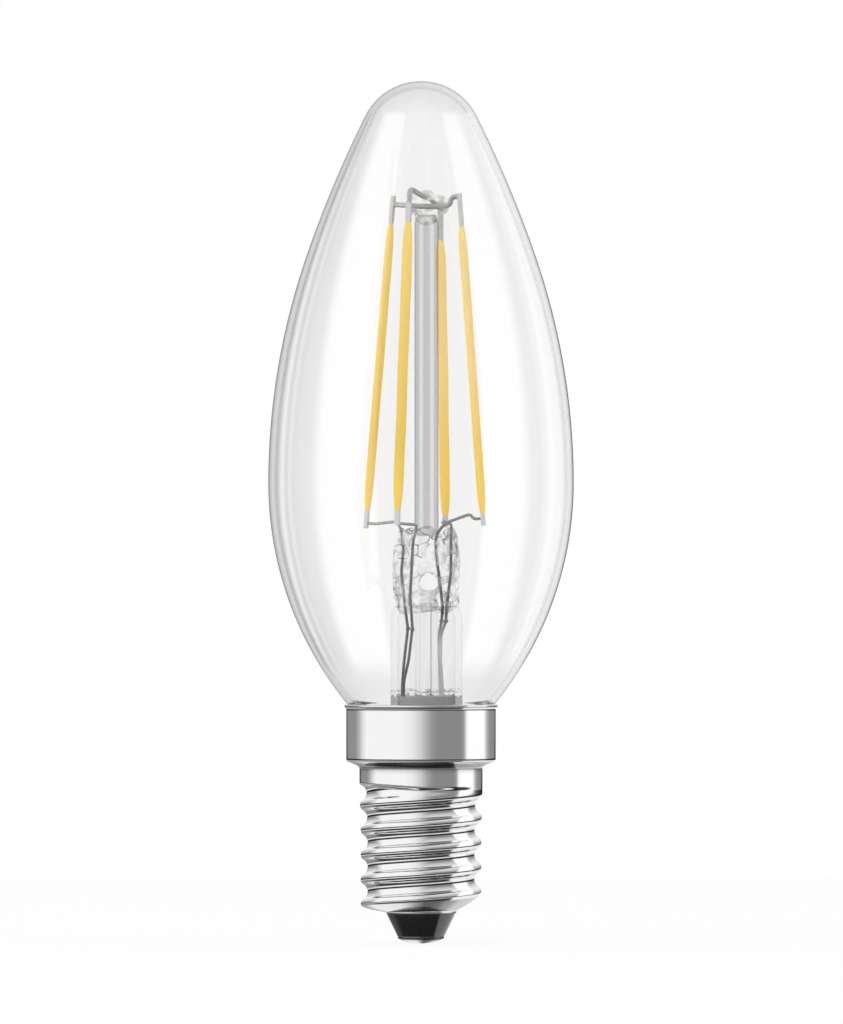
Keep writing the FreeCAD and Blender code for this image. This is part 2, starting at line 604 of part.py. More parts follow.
# The press is flattened from the front and the back
jaw_sketch = new_sketch(stem_blank, "press_jaws", "YZ_Plane")
jaw_reach = "Sizes.flare_radius * 1.5"
jaw_bottom = "Places.press_foot - Sizes.press_rounding"
for sign in ("", "-"):
    outline(
        jaw_sketch,
        (f"{sign}(Sizes.press_depth / 2)", "Places.press_top + Sizes.press_rounding"),
        (f"{sign}(Sizes.press_depth / 2)", f"{jaw_bottom} + Sizes.press_slope"),
        (f"{sign}(Sizes.flare_radius)", jaw_bottom),
        (f"{sign}({jaw_reach})", jaw_bottom),
        (f"{sign}({jaw_reach})", "Places.press_top + Sizes.press_rounding"),
    )
press_flats = stem_blank.newObject("PartDesign::Pocket", "press_flats")
press_flats.Profile = jaw_sketch
press_flats.Type = "ThroughAll"
press_flats.SideType = "Symmetric"

blow_sketch = new_sketch(stem_blank, "blow_hole_outline")
circle(blow_sketch, "Sizes.blow_hole_shift", "Places.blow_hole_height", "Sizes.blow_hole_radius")
blow_hole = stem_blank.newObject("PartDesign::Pocket", "blow_hole")
blow_hole.Profile = blow_sketch
blow_hole.Reversed = True
blow_hole.setExpression("Length", "Sizes.press_depth")
stem_blank.setExpression("Placement.Base.x", "Sizes.stem_offset")

exhaust_tube = turned_part(
    "exhaust_tube",
    ("0", "Places.exhaust_tip_height"),
    ("Sizes.exhaust_radius", "Places.exhaust_tip_height + Sizes.exhaust_radius"),
    ("Sizes.exhaust_radius", "Places.press_foot + Sizes.exhaust_socket"),
    ("Places.exhaust_bore", "Places.press_foot + Sizes.exhaust_socket"),
    ("Places.exhaust_bore", "Places.exhaust_tip_height + Sizes.exhaust_radius * 2"),
    ("0", "Places.exhaust_tip_height + Sizes.exhaust_radius * 2 - Places.exhaust_bore"),
)
exhaust_tube.setExpression("Placement.Base.x", "Sizes.stem_offset")

rod_blank = turned_part(
    "rod_blank",
    ("0", "Places.press_top"),
    ("Sizes.rod_radius", "Places.press_top"),
    ("Sizes.rod_radius", "Places.bead_foot"),
    ("Sizes.bead_radius", "Places.bead_middle", "Sizes.bead_height / 2"),
    ("Places.bead_core", "Places.bead_top", "Sizes.bead_height / 2"),
    ("0", "Places.bead_top"),
)
rod_blank.setExpression("Placement.Base.x", "Sizes.stem_offset")


# The filaments: each stands on a wide ring and leans in to a narrow one
def ring_point(radius, angle, height):
    angle = math.radians(angle)
    return Vector(value("Sizes.cage_shift") + radius * math.cos(angle), radius * math.sin(angle), height)


def filament_ends(side):
    """The foot and the head of a filament's coat."""
    foot = ring_point(value("Sizes.foot_ring_radius"), value(f"Sizes.{side}_foot_angle"),
                      value(f"Places.press_top + Sizes.{side}_foot_rise"))
    head = ring_point(value("Sizes.head_ring_radius"), value(f"Sizes.{side}_head_angle"), foot.z)
    head.z += math.sqrt(value("Places.filament_length") ** 2 - (head - foot).Length ** 2)
    return foot, head


def outward(side, axis):
    """The level direction away from the ring's axis, tilted square to the filament."""
    middle = sum(filament_ends(side), Vector()) / 2
    away = Vector(middle.x - value("Sizes.cage_shift"), middle.y, 0)
    return (away - axis * away.dot(axis)).normalize()


def facing(base, axis, away):
    """A placement with Z along a filament and Y away from the ring's axis."""
    return FreeCAD.Placement(base, FreeCAD.Rotation(away.cross(axis), away, axis, "ZYX"))


def end_strip(label, length_size, placement):
    """A metal strip with cut corners at its free end."""
    body = new_body(label)
    sketch = new_sketch(body, f"{label}_outline")
    outline(
        sketch,
        ("-Sizes.tab_width / 2", "0"),
        ("Sizes.tab_width / 2", "0"),
        ("Sizes.tab_width / 2", f"{length_size} - Sizes.tab_chamfer"),
        ("Sizes.tab_width / 2 - Sizes.tab_chamfer", length_size),
        ("Sizes.tab_chamfer - Sizes.tab_width / 2", length_size),
        ("-Sizes.tab_width / 2", f"{length_size} - Sizes.tab_chamfer"),
    )
    pad = body.newObject("PartDesign::Pad", f"{label}_pad")
    pad.Profile = sketch
    pad.SideType = "Symmetric"
    pad.setExpression("Length", "Sizes.tab_thickness")
    body.Placement = placement
    return body


def filament_stick(side, placement):
    """A coated filament: an oval section with tapered ends."""
    stations = (
        ("0", "Sizes.filament_end_share"),
        ("Sizes.filament_taper", "1"),
        ("Places.filament_length - Sizes.filament_taper", "1"),
        ("Places.filament_length", "Sizes.filament_end_share"),
    )
    sections = []
    for number, (height, share) in enumerate(stations):
        section = doc.addObject("Part::Ellipse", f"filament_{side}_section_{number}")
        section.setExpression("MajorRadius", f"Sizes.filament_width / 2 * {share}")
        section.setExpression("MinorRadius", f"Sizes.filament_thickness / 2 * {share}")
        section.setExpression("Placement.Base.z", height)
        sections.append(section)
    stick = doc.addObject("Part::Loft", f"filament_{side}")
    stick.Label = f"filament_{side}"
    stick.Sections = sections
    stick.Solid = True
    stick.Ruled = True
    stick.Placement = placement
    return stick


sub_parts = []
weld_starts = {}
for side in FILAMENTS:
    foot, head = filament_ends(side)
    axis = (head - foot).normalize()
    away = outward(side, axis)
    sub_parts.append(filament_stick(side, facing(foot, axis, away)))
    sub_parts.append(end_strip(f"foot_tab_{side}", f"Sizes.{side}_foot_strip", facing(foot, axis * -1, away)))
    sub_parts.append(end_strip(f"head_tab_{side}", f"Sizes.{side}_head_strip", facing(head, axis, away)))
    inner_face = away * (value("Sizes.tab_thickness") / 2)
    weld_starts[f"{side}_foot"] = (foot - axis * value(f"Sizes.{side}_foot_weld") - inner_face, away * -1)
    weld_starts[f"{side}_head"] = (head + axis * value(f"Sizes.{side}_head_weld") - inner_face, away * -1)
front_foot, front_head = filament_ends("front")
front_axis = (front_head - front_foot).normalize()
front_strip_top = front_head + front_axis * value("Sizes.front_head_strip")

# Lead wires. Points are across and forward from the mount's axis, with heights from the levels named here.
# Each has an inner and an outer run, welded together in a knot, and ends on a face of the driver board
press_top = value("Places.press_top")
press_foot = value("Places.press_foot")
seal = value("Places.seal_height")
board_top = value("Places.board_top")
board_side = value("Places.board_face + Sizes.lead_radius")
board_lead = value("Sizes.board_lead_spread - Sizes.stem_offset")
left_board_lead = value("-Sizes.board_lead_spread - Sizes.stem_offset")
lead_turn = board_top + value("Sizes.board_lead_rise")
lead_end = board_top - value("Sizes.board_lead_lap")


def on_press(share):
    """A height on the press, from 0 at its foot to 1 at its top."""
    return press_foot + share * value("Sizes.press_height")


def on_flare(share):
    """A height on the flare tube, from 0 at the seal to 1 at the foot of the press."""
    return seal + share * value("Sizes.flare_length")


LEAD_ROUTES = {
    "left": (
        [(-3.4, 0.8, press_top + 0.85), (-2.9, 0.6, on_press(0.99)), (-2.63, 0.6, on_press(0.75)),
         (-2.88, 0.6, on_press(0.46)), (-2.63, 0.5, on_press(0.2)), (-2.38, 0.5, on_flare(0.975))],
        [(-2.13, 0.5, on_flare(0.86)), (-2.54, 0.5, on_flare(0.643)), (-2.75, 0.5, on_flare(0.484)),
         (-2.8, 0.5, on_flare(0.36)), (-2.75, 0.5, on_flare(0.08)),
         (left_board_lead, board_side, lead_turn), (left_board_lead, board_side, lead_end)],
    ),
    "front": (
        [(-1.0, -1.7, press_top + 0.45), (-1.54, -1.0, on_press(0.85)), (-1.7, -0.9, on_press(0.5)),
         (-1.89, -0.9, on_press(0.12)), (-1.7, -0.9, on_flare(0.957))],
        [(-1.62, -0.9, on_flare(0.857)), (-2.03, -0.9, on_flare(0.643)), (-2.6, -0.6, on_flare(0.484)),
         (-2.6, -0.7, on_flare(0.36)), (-2.65, -0.8, on_flare(0.08)),
         (left_board_lead, -board_side, lead_turn), (left_board_lead, -board_side, lead_end)],
    ),
    "back": (
        [(2.9, 1.6, press_top + 0.55), (2.8, 0.9, on_press(0.88)), (2.8, 0.9, on_press(0.46)),
         (2.3, 0.5, on_press(0.03))],
        [(2.23, 0.3, on_flare(0.913)), (1.65, 0.45, on_flare(0.82)), (1.62, 0.5, on_flare(0.64)),
         (1.9, 0.5, on_flare(0.36)), (2.1, 0.3, on_flare(0.08)),
         (board_lead, -board_side, lead_turn), (board_lead, -board_side, lead_end)],
    ),
    "right": (
        [(4.97, -1.9, press_top + 1.68), (2.1, -0.4, press_top + 0.66), (0.95, 0.8, on_press(0.9)),
         (1.3, 0.85, on_press(0.52)), (1.85, 0.9, on_press(0.03))],
        [(1.73, 1.05, on_flare(0.913)), (1.42, 1.2, on_flare(0.82)), (1.45, 1.25, on_flare(0.64)),
         (1.6, 1.3, on_flare(0.36)), (1.8, 1.2, on_flare(0.08)),
         (board_lead, board_side, lead_turn), (board_lead, board_side, lead_end)],
    ),
}

stem_axis = Vector(value("Sizes.stem_offset"), 0, 0)
weld_run = value("Sizes.weld_run")
lead_wires = []
for side, (inner_run, outer_run) in LEAD_ROUTES.items():
    weld, inward = weld_starts[f"{side}_foot"]
    points = [Vector(*point) + stem_axis for point in inner_run + outer_run]
    knot = doc.addObject("Part::Sphere", f"weld_knot_{side}")
    knot.setExpression("Radius", "Sizes.knot_radius")
    knot.Placement.Base = Vector(*outer_run[0]) + stem_axis
    run = wire_along(f"lead_run_{side}", [weld, weld + inward * weld_run, *points], "Sizes.lead_radius")
    lead_wires.append(joined(f"lead_wire_{side}", [run, knot]))

# Anchor wires cross in the bead at two levels
bead_middle = value("Places.bead_middle")
left_weld, left_inward = weld_starts["left_head"]
right_weld, right_inward = weld_starts["right_head"]
back_weld, back_inward = weld_starts["back_head"]
anchor_across = wire_along("anchor_wire_across", [
    left_weld,
    left_weld + left_inward * value("Sizes.left_anchor_run"),
    stem_axis + Vector(-1.6, 0.55, bead_middle + 0.15),
    stem_axis + Vector(1.9, -0.1, bead_middle + 0.05),
    stem_axis + Vector(2.7, -0.5, bead_middle + 0.3),
    right_weld + right_inward * value("Sizes.right_anchor_run"),
    right_weld,
], "Sizes.anchor_radius")
anchor_front_to_back = wire_along("anchor_wire_front_to_back", [
    front_strip_top,
    front_strip_top + front_axis * value("Sizes.front_anchor_rise"),
    stem_axis + Vector(-0.2, -1.5, bead_middle + 1.1),
    stem_axis + Vector(0.3, 1.4, bead_middle + 1.1),
    back_weld + back_inward * value("Sizes.back_anchor_run"),
    back_weld,
], "Sizes.anchor_radius")

potting_blank = turned_part(
    "potting_blank",
    ("Sizes.exhaust_radius", "Places.seal_height + Sizes.plug_top - Sizes.plug_height"),
    ("Places.flare_inside", "Places.seal_height + Sizes.plug_top - Sizes.plug_height"),
    ("Places.flare_inside", "Places.seal_height + Sizes.plug_top"),
    ("Sizes.exhaust_radius", "Places.seal_height + Sizes.plug_top"),
)
potting_blank.setExpression("Placement.Base.x", "Sizes.stem_offset")

stem_flare = cut_by("stem_flare", stem_blank, lead_wires)
support_rod = cut_by("support_rod", rod_blank, [anchor_across, anchor_front_to_back])
potting_plug = cut_by("potting_plug", potting_blank, lead_wires)

# The driver: an insulating sleeve, a board across it and the parts on both faces of the board
driver_sleeve = turned_part(
    "driver_sleeve",
    ("Places.sleeve_inside", "Places.sleeve_bottom"),
    ("Places.sleeve_radius", "Places.sleeve_bottom"),
    ("Places.sleeve_radius", "Places.sleeve_top"),
    ("Places.sleeve_inside", "Places.sleeve_top"),
)


def block(label, width, depth, height, across, forward, bottom):
    """A box whose sizes and corner are expressions."""
    box = doc.addObject("Part::Box", label)
    box.Label = label
    box.setExpression("Length", width)
    box.setExpression("Width", depth)
    box.setExpression("Height", height)
    box.setExpression("Placement.Base.x", across)
    box.setExpression("Placement.Base.y", forward)
    box.setExpression("Placement.Base.z", bottom)
    return box


driver_board = block(
    "driver_board", "2 * Places.board_half_width", "Sizes.board_thickness",
    "Places.board_top - Places.board_bottom",
    "-Places.board_half_width", "-Places.board_face", "Places.board_bottom")


def part_with_pins(label, size, pin_rows):
    """A moulded part on the back face of the board, with rows of flat pins on both sides."""
    moulding = block(
        f"{label}_moulding", f"Sizes.{size}_width", f"Sizes.{size}_depth", f"Sizes.{size}_length",
        f"-Sizes.{size}_width / 2", "Places.board_face", f"Places.board_bottom + Sizes.{size}_bottom")
    pins = []
    for row in range(pin_rows):
        step = f"({row} - {(pin_rows - 1) / 2}) * Sizes.{size}_pin_spacing - Sizes.pin_width / 2"
        pins.append(block(
            f"{label}_pins_{row}", f"Sizes.{size}_width + 2 * Sizes.pin_reach", "Sizes.pin_thickness",
            "Sizes.pin_width", f"-(Sizes.{size}_width / 2 + Sizes.pin_reach)", "Places.board_face",
            f"Places.board_bottom + Sizes.{size}_bottom + Sizes.{size}_length / 2 + {step}"))
    return joined(label, [moulding, *pins])


bridge_rectifier = part_with_pins("bridge_rectifier", "rectifier", 2)
driver_chip = part_with_pins("driver_chip", "chip", 4)

sense_resistors = []
for side, sign in (("left", "-1"), ("right", "1")):
    sense_resistors.append(block(
        f"sense_resistor_{side}", "Sizes.resistor_width", "Sizes.resistor_depth", "Sizes.resistor_length",
        f"{sign} * Sizes.resistor_spread - Sizes.resistor_width / 2", "Places.board_face",
        "Places.board_bottom + Sizes.resistor_bottom"))


def standing_can(label, radius, length, across, forward, bottom):
    """A cylinder along the lamp whose sizes and place are expressions."""
    can = doc.addObject("Part::Cylinder", label)
    can.setExpression("Radius", radius)
    can.setExpression("Height", length)
    can.setExpression("Placement.Base.x", across)
    can.setExpression("Placement.Base.y", forward)
    can.setExpression("Placement.Base.z", bottom)
    return can


# The capacitor stands in front of the board, and its two wires bend back to it
capacitor_front = "-(Places.board_face + Sizes.capacitor_radius + Sizes.board_clearance)"
capacitor_can = standing_can(
    "capacitor_can", "Sizes.capacitor_radius", "Sizes.capacitor_length", "0", capacitor_front,
    "Places.board_bottom + Sizes.capacitor_bottom")
capacitor_pieces = [capacitor_can]
for side, sign in (("left", -1), ("right", 1)):
    foot_of_can = Vector(
        sign * value("Sizes.capacitor_wire_spacing / 2"), value(capacitor_front),
        value("Places.board_bottom + Sizes.capacitor_bottom"))
    down = Vector(0, 0, -value("Sizes.capacitor_bottom / 2"))
    to_board = Vector(0, -value(capacitor_front) - value("Places.board_face"), 0)
    capacitor_pieces.append(wire_along(
        f"capacitor_wire_{side}", [foot_of_can, foot_of_can + down, foot_of_can + down + to_board],
        "Sizes.capacitor_wire_radius"))
smoothing_capacitor = joined("smoothing_capacitor", capacitor_pieces)

# The fusible resistor hangs in front of the board, between the board and the centre contact
fuse_body = standing_can(
    "fuse_body", "Sizes.fuse_radius", "Sizes.fuse_length", "Sizes.fuse_side", "-Sizes.fuse_front",
    "Places.board_bottom + Sizes.fuse_bottom")
fuse_bottom = Vector(value("Sizes.fuse_side"), -value("Sizes.fuse_front"),
                     value("Places.board_bottom + Sizes.fuse_bottom"))
fuse_top = fuse_bottom + Vector(0, 0, value("Sizes.fuse_length"))
fuse_bend = fuse_top + Vector(0, 0, value("Sizes.fuse_wire_rise"))
fuse_wire = wire_along("fuse_wire", [
    fuse_top,
    fuse_bend,
    Vector(fuse_bend.x, -value("Places.board_face"), fuse_bend.z),
], "Sizes.fuse_wire_radius")
fusible_resistor = joined("fusible_resistor", [fuse_body, fuse_wire])
shank_end = Vector(0, 0, value("Places.shank_top"))
centre_wire_level = value("Places.board_bottom - Sizes.centre_wire_drop")
centre_wire = wire_along("centre_wire", [
    fuse_bottom,
    Vector(fuse_bottom.x, fuse_bottom.y, centre_wire_level),
    Vector(0, 0, centre_wire_level),
    shank_end,
], "Sizes.fuse_wire_radius")

# The insulated wire climbs out of the sleeve and down beside it to the inside of the band
wire_radius = value("Sizes.shell_wire_radius")
sleeve_top = value("Places.sleeve_top")
band_inside = value("Sizes.band_radius - Sizes.cap_sheet")
shell_wire_back = value("Places.board_face") + wire_radius
shell_wire_out = math.sqrt((band_inside - wire_radius) ** 2 - shell_wire_back ** 2)
shell_wire_in = value("Places.board_half_width") - 3 * wire_radius
shell_wire = wire_along("shell_wire", [
    Vector(shell_wire_in, shell_wire_back, sleeve_top - value("Sizes.shell_wire_tail")),
    Vector(shell_wire_in, shell_wire_back, sleeve_top + 2 * wire_radius),
    Vector(shell_wire_out, shell_wire_back, sleeve_top + 2 * wire_radius),
    Vector(shell_wire_out, shell_wire_back, sleeve_top - value("Sizes.shell_wire_lap")),
], "Sizes.shell_wire_radius")

sub_parts += [
    glass_envelope, stem_flare, exhaust_tube, support_rod, *lead_wires, anchor_across, anchor_front_to_back,
    potting_plug, cap_shell, cap_insulator, centre_contact, capping_cement, driver_sleeve, driver_board,
    bridge_rectifier, driver_chip, *sense_resistors, smoothing_capacitor, fusible_resistor, centre_wire,
    shell_wire,
]

doc.recompute()
for item in doc.Objects:
    if {"Invalid", "Error"} & set(item.State):
        raise RuntimeError(f"{item.Name} failed: {item.State}")
for part in sub_parts:
    if part.Shape.isNull() or not part.Shape.isValid() or not part.Shape.Solids:
        raise RuntimeError(f"{part.Label} has no sound shape")

os.makedirs("parts", exist_ok=True)
for part in sub_parts:
    part.Shape.exportStep(f"parts/{part.Label}.step")
    box = part.Shape.BoundBox
    print(f"{part.Label}: {box.XLength:.2f} x {box.YLength:.2f} x {box.ZLength:.2f} mm, "
          f"{len(part.Shape.Solids)} solid, {part.Shape.Volume:.1f} mm3")
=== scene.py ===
"""A clear candle bulb with four LED filaments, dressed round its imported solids."""
import math

import bpy
from mathutils import Matrix, Vector, noise


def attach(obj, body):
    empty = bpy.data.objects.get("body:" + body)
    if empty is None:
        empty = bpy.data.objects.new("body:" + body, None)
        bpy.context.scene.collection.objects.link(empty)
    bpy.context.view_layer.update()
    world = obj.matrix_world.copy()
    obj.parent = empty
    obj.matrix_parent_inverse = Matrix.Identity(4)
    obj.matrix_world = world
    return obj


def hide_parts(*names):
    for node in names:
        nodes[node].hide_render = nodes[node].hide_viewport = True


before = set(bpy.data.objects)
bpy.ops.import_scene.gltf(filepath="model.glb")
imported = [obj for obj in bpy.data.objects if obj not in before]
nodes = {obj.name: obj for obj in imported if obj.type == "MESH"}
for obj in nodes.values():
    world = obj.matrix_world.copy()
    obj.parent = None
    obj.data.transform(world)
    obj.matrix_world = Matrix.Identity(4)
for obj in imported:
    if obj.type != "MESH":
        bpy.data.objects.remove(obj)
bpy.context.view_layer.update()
scene = bpy.context.scene
MM = 0.001

# The picture: a long lens, level with the middle of the bulb, that sees it almost without perspective.
# The bulb stands on its contact, and the picture's height takes in 117 mm.
LENS = 600.0
SENSOR = 36.0
SEEN_HEIGHT = 117.03 * MM
camera_data = bpy.data.cameras.new("Camera")
camera_data.lens = LENS
camera_data.sensor_width = SENSOR
camera_data.clip_end = 20.0
camera = bpy.data.objects.new("Camera", camera_data)
scene.collection.objects.link(camera)
camera.location = (0.057 * MM, -LENS / SENSOR * SEEN_HEIGHT, 49.31 * MM)
camera.rotation_euler = (math.radians(90), 0, 0)
scene.camera = camera
scene.view_settings.view_transform = "Standard"
# A view through the bulb passes up to a dozen walls of glass, so a ray may go on for long.
scene.cycles.transparent_max_bounces = 24
scene.cycles.transmission_bounces = 24
scene.cycles.max_bounces = 32

# The studio: a white tent with the panels and gaps that the glass and the nickel mirror.
# Sharp glass sees faint panels, softer metal sees strong ones, and all else sees plain white.
world = bpy.data.worlds.new("White_tent")
scene.world = world
world.use_nodes = True
world.cycles.sampling_method = "NONE"
tent = world.node_tree
tent.nodes.clear()


def add_node(tree, kind, inputs=None, stops=None, **settings):
    """Adds one node with its settings, sets or links its inputs, and fills a ramp's stops."""
    node = tree.nodes.new(kind)
    for name, value in settings.items():
        setattr(node, name, value)
    for socket, value in (inputs or {}).items():
        if isinstance(value, bpy.types.NodeSocket):
            tree.links.new(value, node.inputs[socket])
        else:
            node.inputs[socket].default_value = value
    if stops:
        ramp = node.color_ramp
        ramp.elements[0].position = stops[0][0]
        ramp.elements[-1].position = stops[-1][0]
        for place, _ in stops[1:-1]:
            ramp.elements.new(place)
        for element, (_, colour) in zip(ramp.elements, stops):
            is_colour = isinstance(colour, (list, tuple))
            element.color = colour if is_colour else (colour, colour, colour, 1)
    return node


def math_of(operation, first, second=0.0):
    """One arithmetic node of the tent."""
    return add_node(tent, "ShaderNodeMath", {0: first, 1: second}, operation=operation).outputs[0]


def blended(fac, low, high):
    """A value between two others."""
    return add_node(tent, "ShaderNodeMix", {0: fac, 2: low, 3: high}, data_type="FLOAT").outputs[0]


def vector_of(operation, first, second):
    """One vector node of the tent."""
    node = add_node(tent, "ShaderNodeVectorMath", {0: first, 1: second}, operation=operation)
    return node.outputs[0]


def graded(value, stops):
    """A value taken through a ramp of greys."""
    return add_node(tent, "ShaderNodeValToRGB", {0: value}, stops=stops).outputs[0]


def mirror_places(seen_from):
    """Which way a mirror faces and tilts that shows this direction to a viewer in front."""
    between = vector_of("SUBTRACT", seen_from, (0, 1, 0))
    half = add_node(tent, "ShaderNodeVectorMath", {0: between}, operation="NORMALIZE").outputs[0]
    turned_by = add_node(tent, "ShaderNodeTexGradient", {0: half}, gradient_type="RADIAL")
    parts = add_node(tent, "ShaderNodeSeparateXYZ", {0: half}).outputs
    tilt = math_of("MULTIPLY_ADD", parts["Z"], 0.5)
    tilt.node.inputs[2].default_value = 0.5
    return turned_by.outputs["Fac"], tilt, parts


def by_angle(panels):
    """Stops for the ring of directions, from angles to the right of the front."""
    return [(0.25 + angle / 360, grey) for angle, grey in panels]


def by_tilt(zones):
    """Stops for the tilt, from the sine of how far a mirror tilts up."""
    return [(0.5 + sine / 2, grey) for sine, grey in zones]


def beyond_panels(parts):
    """The tent above and below the panels, bright where the glass curves away from the viewer."""
    turned_away = math_of("ABSOLUTE", parts["Y"])
    rim = graded(turned_away, [
        (0.0, 0.1), (0.05, 0.1), (0.07, 0.84), (0.35, 0.82), (0.42, 0.5), (0.52, 0.3), (0.62, 0.15),
        (0.75, 0.0)])
    return math_of("MULTIPLY", rim, math_of("ADD", math_of("MULTIPLY", parts["X"], 0.12), 0.9))


direction = add_node(tent, "ShaderNodeTexCoord").outputs["Generated"]
path = add_node(tent, "ShaderNodeLightPath").outputs
facing, tilt, front_parts = mirror_places(direction)
behind = vector_of("MULTIPLY", direction, (-1, 1, -1))
facing_back, tilt_back, back_parts = mirror_places(behind)

# What the sharp mirror image in the glass shows, on its front wall and on its rear wall.
GLASS_PANELS = by_angle([
    (-90, 0.1), (-87.5, 0.1), (-84, 0.52), (-79, 0.72), (-75, 0.72), (-73, 0.5), (-69.2, 0.2),
    (-68.2, 0.95), (-64.8, 0.95), (-63.8, 0.1), (-45.5, 0.1), (-44.5, 1.0), (-17.5, 1.0), (-17, 0.28),
    (24, 0.28), (24.5, 1.0), (45, 1.0), (46, 0.35), (57, 0.40), (58, 1.0), (67.5, 1.0), (69, 0.9),
    (82, 0.85), (85.5, 0.1), (90, 0.1)])
GLASS_REACH = by_tilt([(-0.57, 0.0), (-0.50, 1.0), (0.44, 1.0), (0.50, 0.7), (0.56, 0.0)])
PASSED_FRONT_WALL = 2.5
front_panels = graded(facing, GLASS_PANELS)
front_glass = blended(graded(tilt, GLASS_REACH), beyond_panels(front_parts), front_panels)
back_panels = graded(facing_back, GLASS_PANELS)
back_glass = blended(graded(tilt_back, GLASS_REACH), beyond_panels(back_parts), back_panels)
behind_wall = math_of("GREATER_THAN", path["Transmission Depth"], PASSED_FRONT_WALL)
glass_level = blended(behind_wall, front_glass, back_glass)

# What the softer mirror image in the nickel shows: upright sheet, the thread's undersides, and the end.
METAL_PANELS = by_angle([
    (-90, 0.29), (-61.5, 0.29), (-56.5, 0.45), (-51.5, 0.78), (-47, 1.0), (-16, 1.0), (-8, 0.91),
    (-5, 0.83), (-1.9, 0.735), (1.15, 0.61), (4.2, 0.475), (7.3, 0.36), (10.4, 0.30), (13.5, 0.268),
    (31.5, 0.268), (34.8, 0.32), (38.6, 1.1), (57, 1.1), (61.5, 0.50), (67, 0.28), (90, 0.28)])
LOW_PANELS = by_angle([
    (-90, 0.30), (-55, 0.26), (-45, 0.06), (28, 0.04), (33, 0.10), (35, 0.95), (90, 0.95)])
END_PANELS = by_angle([
    (-90, 0.36), (-67, 0.42), (-58, 0.64), (-50, 0.91), (-23, 0.86), (-14, 0.8), (-9, 0.67),
    (-5, 0.52), (0, 0.34), (4, 0.24), (8, 0.12), (17, 0.13), (22, 0.15), (27, 0.2), (32, 0.32),
    (37, 0.34), (43, 0.45), (49, 0.62), (65, 0.68), (90, 0.7)])
metal_panels = graded(facing, METAL_PANELS)
gap_below = graded(tilt, by_tilt([
    (-0.36, 1.0), (-0.26, 0.9), (-0.22, 0.05), (-0.05, 0.05), (-0.03, 1.0)]))
bright_below = graded(tilt, by_tilt([(-0.37, 0.0), (-0.34, 0.8), (-0.25, 0.8), (-0.22, 0.0)]))
roof = graded(tilt, by_tilt([(0.0, 0.0), (0.25, 0.5), (0.8, 0.95), (1.0, 0.9)]))
upright = math_of("MULTIPLY", metal_panels, gap_below)
upright_level = math_of("MAXIMUM", math_of("MAXIMUM", upright, bright_below), roof)
deep_below = graded(tilt, by_tilt([(-0.40, 1.0), (-0.37, 0.0)]))
straight_below = graded(tilt, by_tilt([(-0.76, 1.0), (-0.66, 0.0)]))
low_level = blended(straight_below, graded(facing, LOW_PANELS), graded(facing, END_PANELS))
metal_level = blended(deep_below, upright_level, low_level)

# What is seen through the uneven lumps of melted glass: the tent, broken into bright and dark patches.
PASSED_LUMP = 4.5
facets = add_node(tent, "ShaderNodeTexNoise", {"Vector": direction, "Scale": 3.5, "Detail": 1.0})
facet_level = graded(facets.outputs[0], [
    (0.0, 0.8), (0.36, 0.85), (0.40, 1.1), (0.46, 1.1), (0.47, 0.05), (0.485, 0.95), (0.57, 1.1),
    (0.60, 0.45), (0.62, 1.1), (1.0, 1.0)])
ahead = add_node(tent, "ShaderNodeVectorMath", {0: direction, 1: (0, 1, 0)}, operation="DOT_PRODUCT")
straight_on = {0: ahead.outputs["Value"], 1: 0.90, 2: 0.995}
straight = add_node(tent, "ShaderNodeMapRange", straight_on).outputs[0]
through_lump = math_of("GREATER_THAN", path["Transmission Depth"], PASSED_LUMP)
lump_level = blended(straight, facet_level, 1.0)

# Matt surfaces get a plain level, a little under white.
MATT_LEVEL = 0.8
mirrored_ray = math_of("GREATER_THAN", path["Glossy Depth"], 0.5)
reflected = blended(path["Is Singular Ray"], metal_level, glass_level)
direct = blended(through_lump, 1.0, lump_level)
shown = blended(mirrored_ray, direct, reflected)
tent_level = blended(path["Is Diffuse Ray"], shown, MATT_LEVEL)
tent_light = add_node(tent, "ShaderNodeBackground", {"Color": (1, 1, 1, 1), "Strength": tent_level})
add_node(tent, "ShaderNodeOutputWorld", {"Surface": tent_light.outputs[0]})

# The lamp: one large soft panel, high at the front left, that gives the bulb its shadow.
# Its own mirror image is left out, since the tent's panels stand for it.
lamp_data = bpy.data.lights.new("Soft_panel", "AREA")
lamp_data.shape = "DISK"
lamp_data.size = 0.5
lamp_data.energy = 2.2
lamp = bpy.data.objects.new("Soft_panel", lamp_data)
scene.collection.objects.link(lamp)
lamp.location = (-0.45, -0.60, 0.75)
lamp.rotation_euler = (-lamp.location).to_track_quat("-Z", "Y").to_euler()
lamp.visible_glossy = False
lamp.visible_transmission = False

# The floor: a small sheet of white board, which the picture sees edge-on.
# It answers the camera with the white of the tent, and keeps the bulb's soft shadow.
WHITE_SHARE = 0.9
bpy.ops.object.select_all(action="DESELECT")
bpy.ops.mesh.primitive_circle_add(
    vertices=96, radius=0.37, fill_type="NGON", location=(0, 0, -0.02 * MM))
floor = bpy.context.object
floor.name = "floor"
board_paint = bpy.data.materials.new("White_board")
board_paint.use_nodes = True
tree = board_paint.node_tree
tree.nodes.clear()
matt = add_node(tree, "ShaderNodeBsdfDiffuse", {"Color": (1, 1, 1, 1)}).outputs[0]
glow = add_node(tree, "ShaderNodeEmission", {"Strength": 1.0}).outputs[0]
seen = add_node(tree, "ShaderNodeLightPath").outputs
either = {0: seen["Is Camera Ray"], 1: seen["Is Transmission Ray"]}
looked_at = add_node(tree, "ShaderNodeMath", either, operation="MAXIMUM").outputs[0]
share = add_node(tree, "ShaderNodeMath", {0: looked_at, 1: WHITE_SHARE}, operation="MULTIPLY")
floor_mix = add_node(tree, "ShaderNodeMixShader", {0: share.outputs[0], 1: matt, 2: glow})
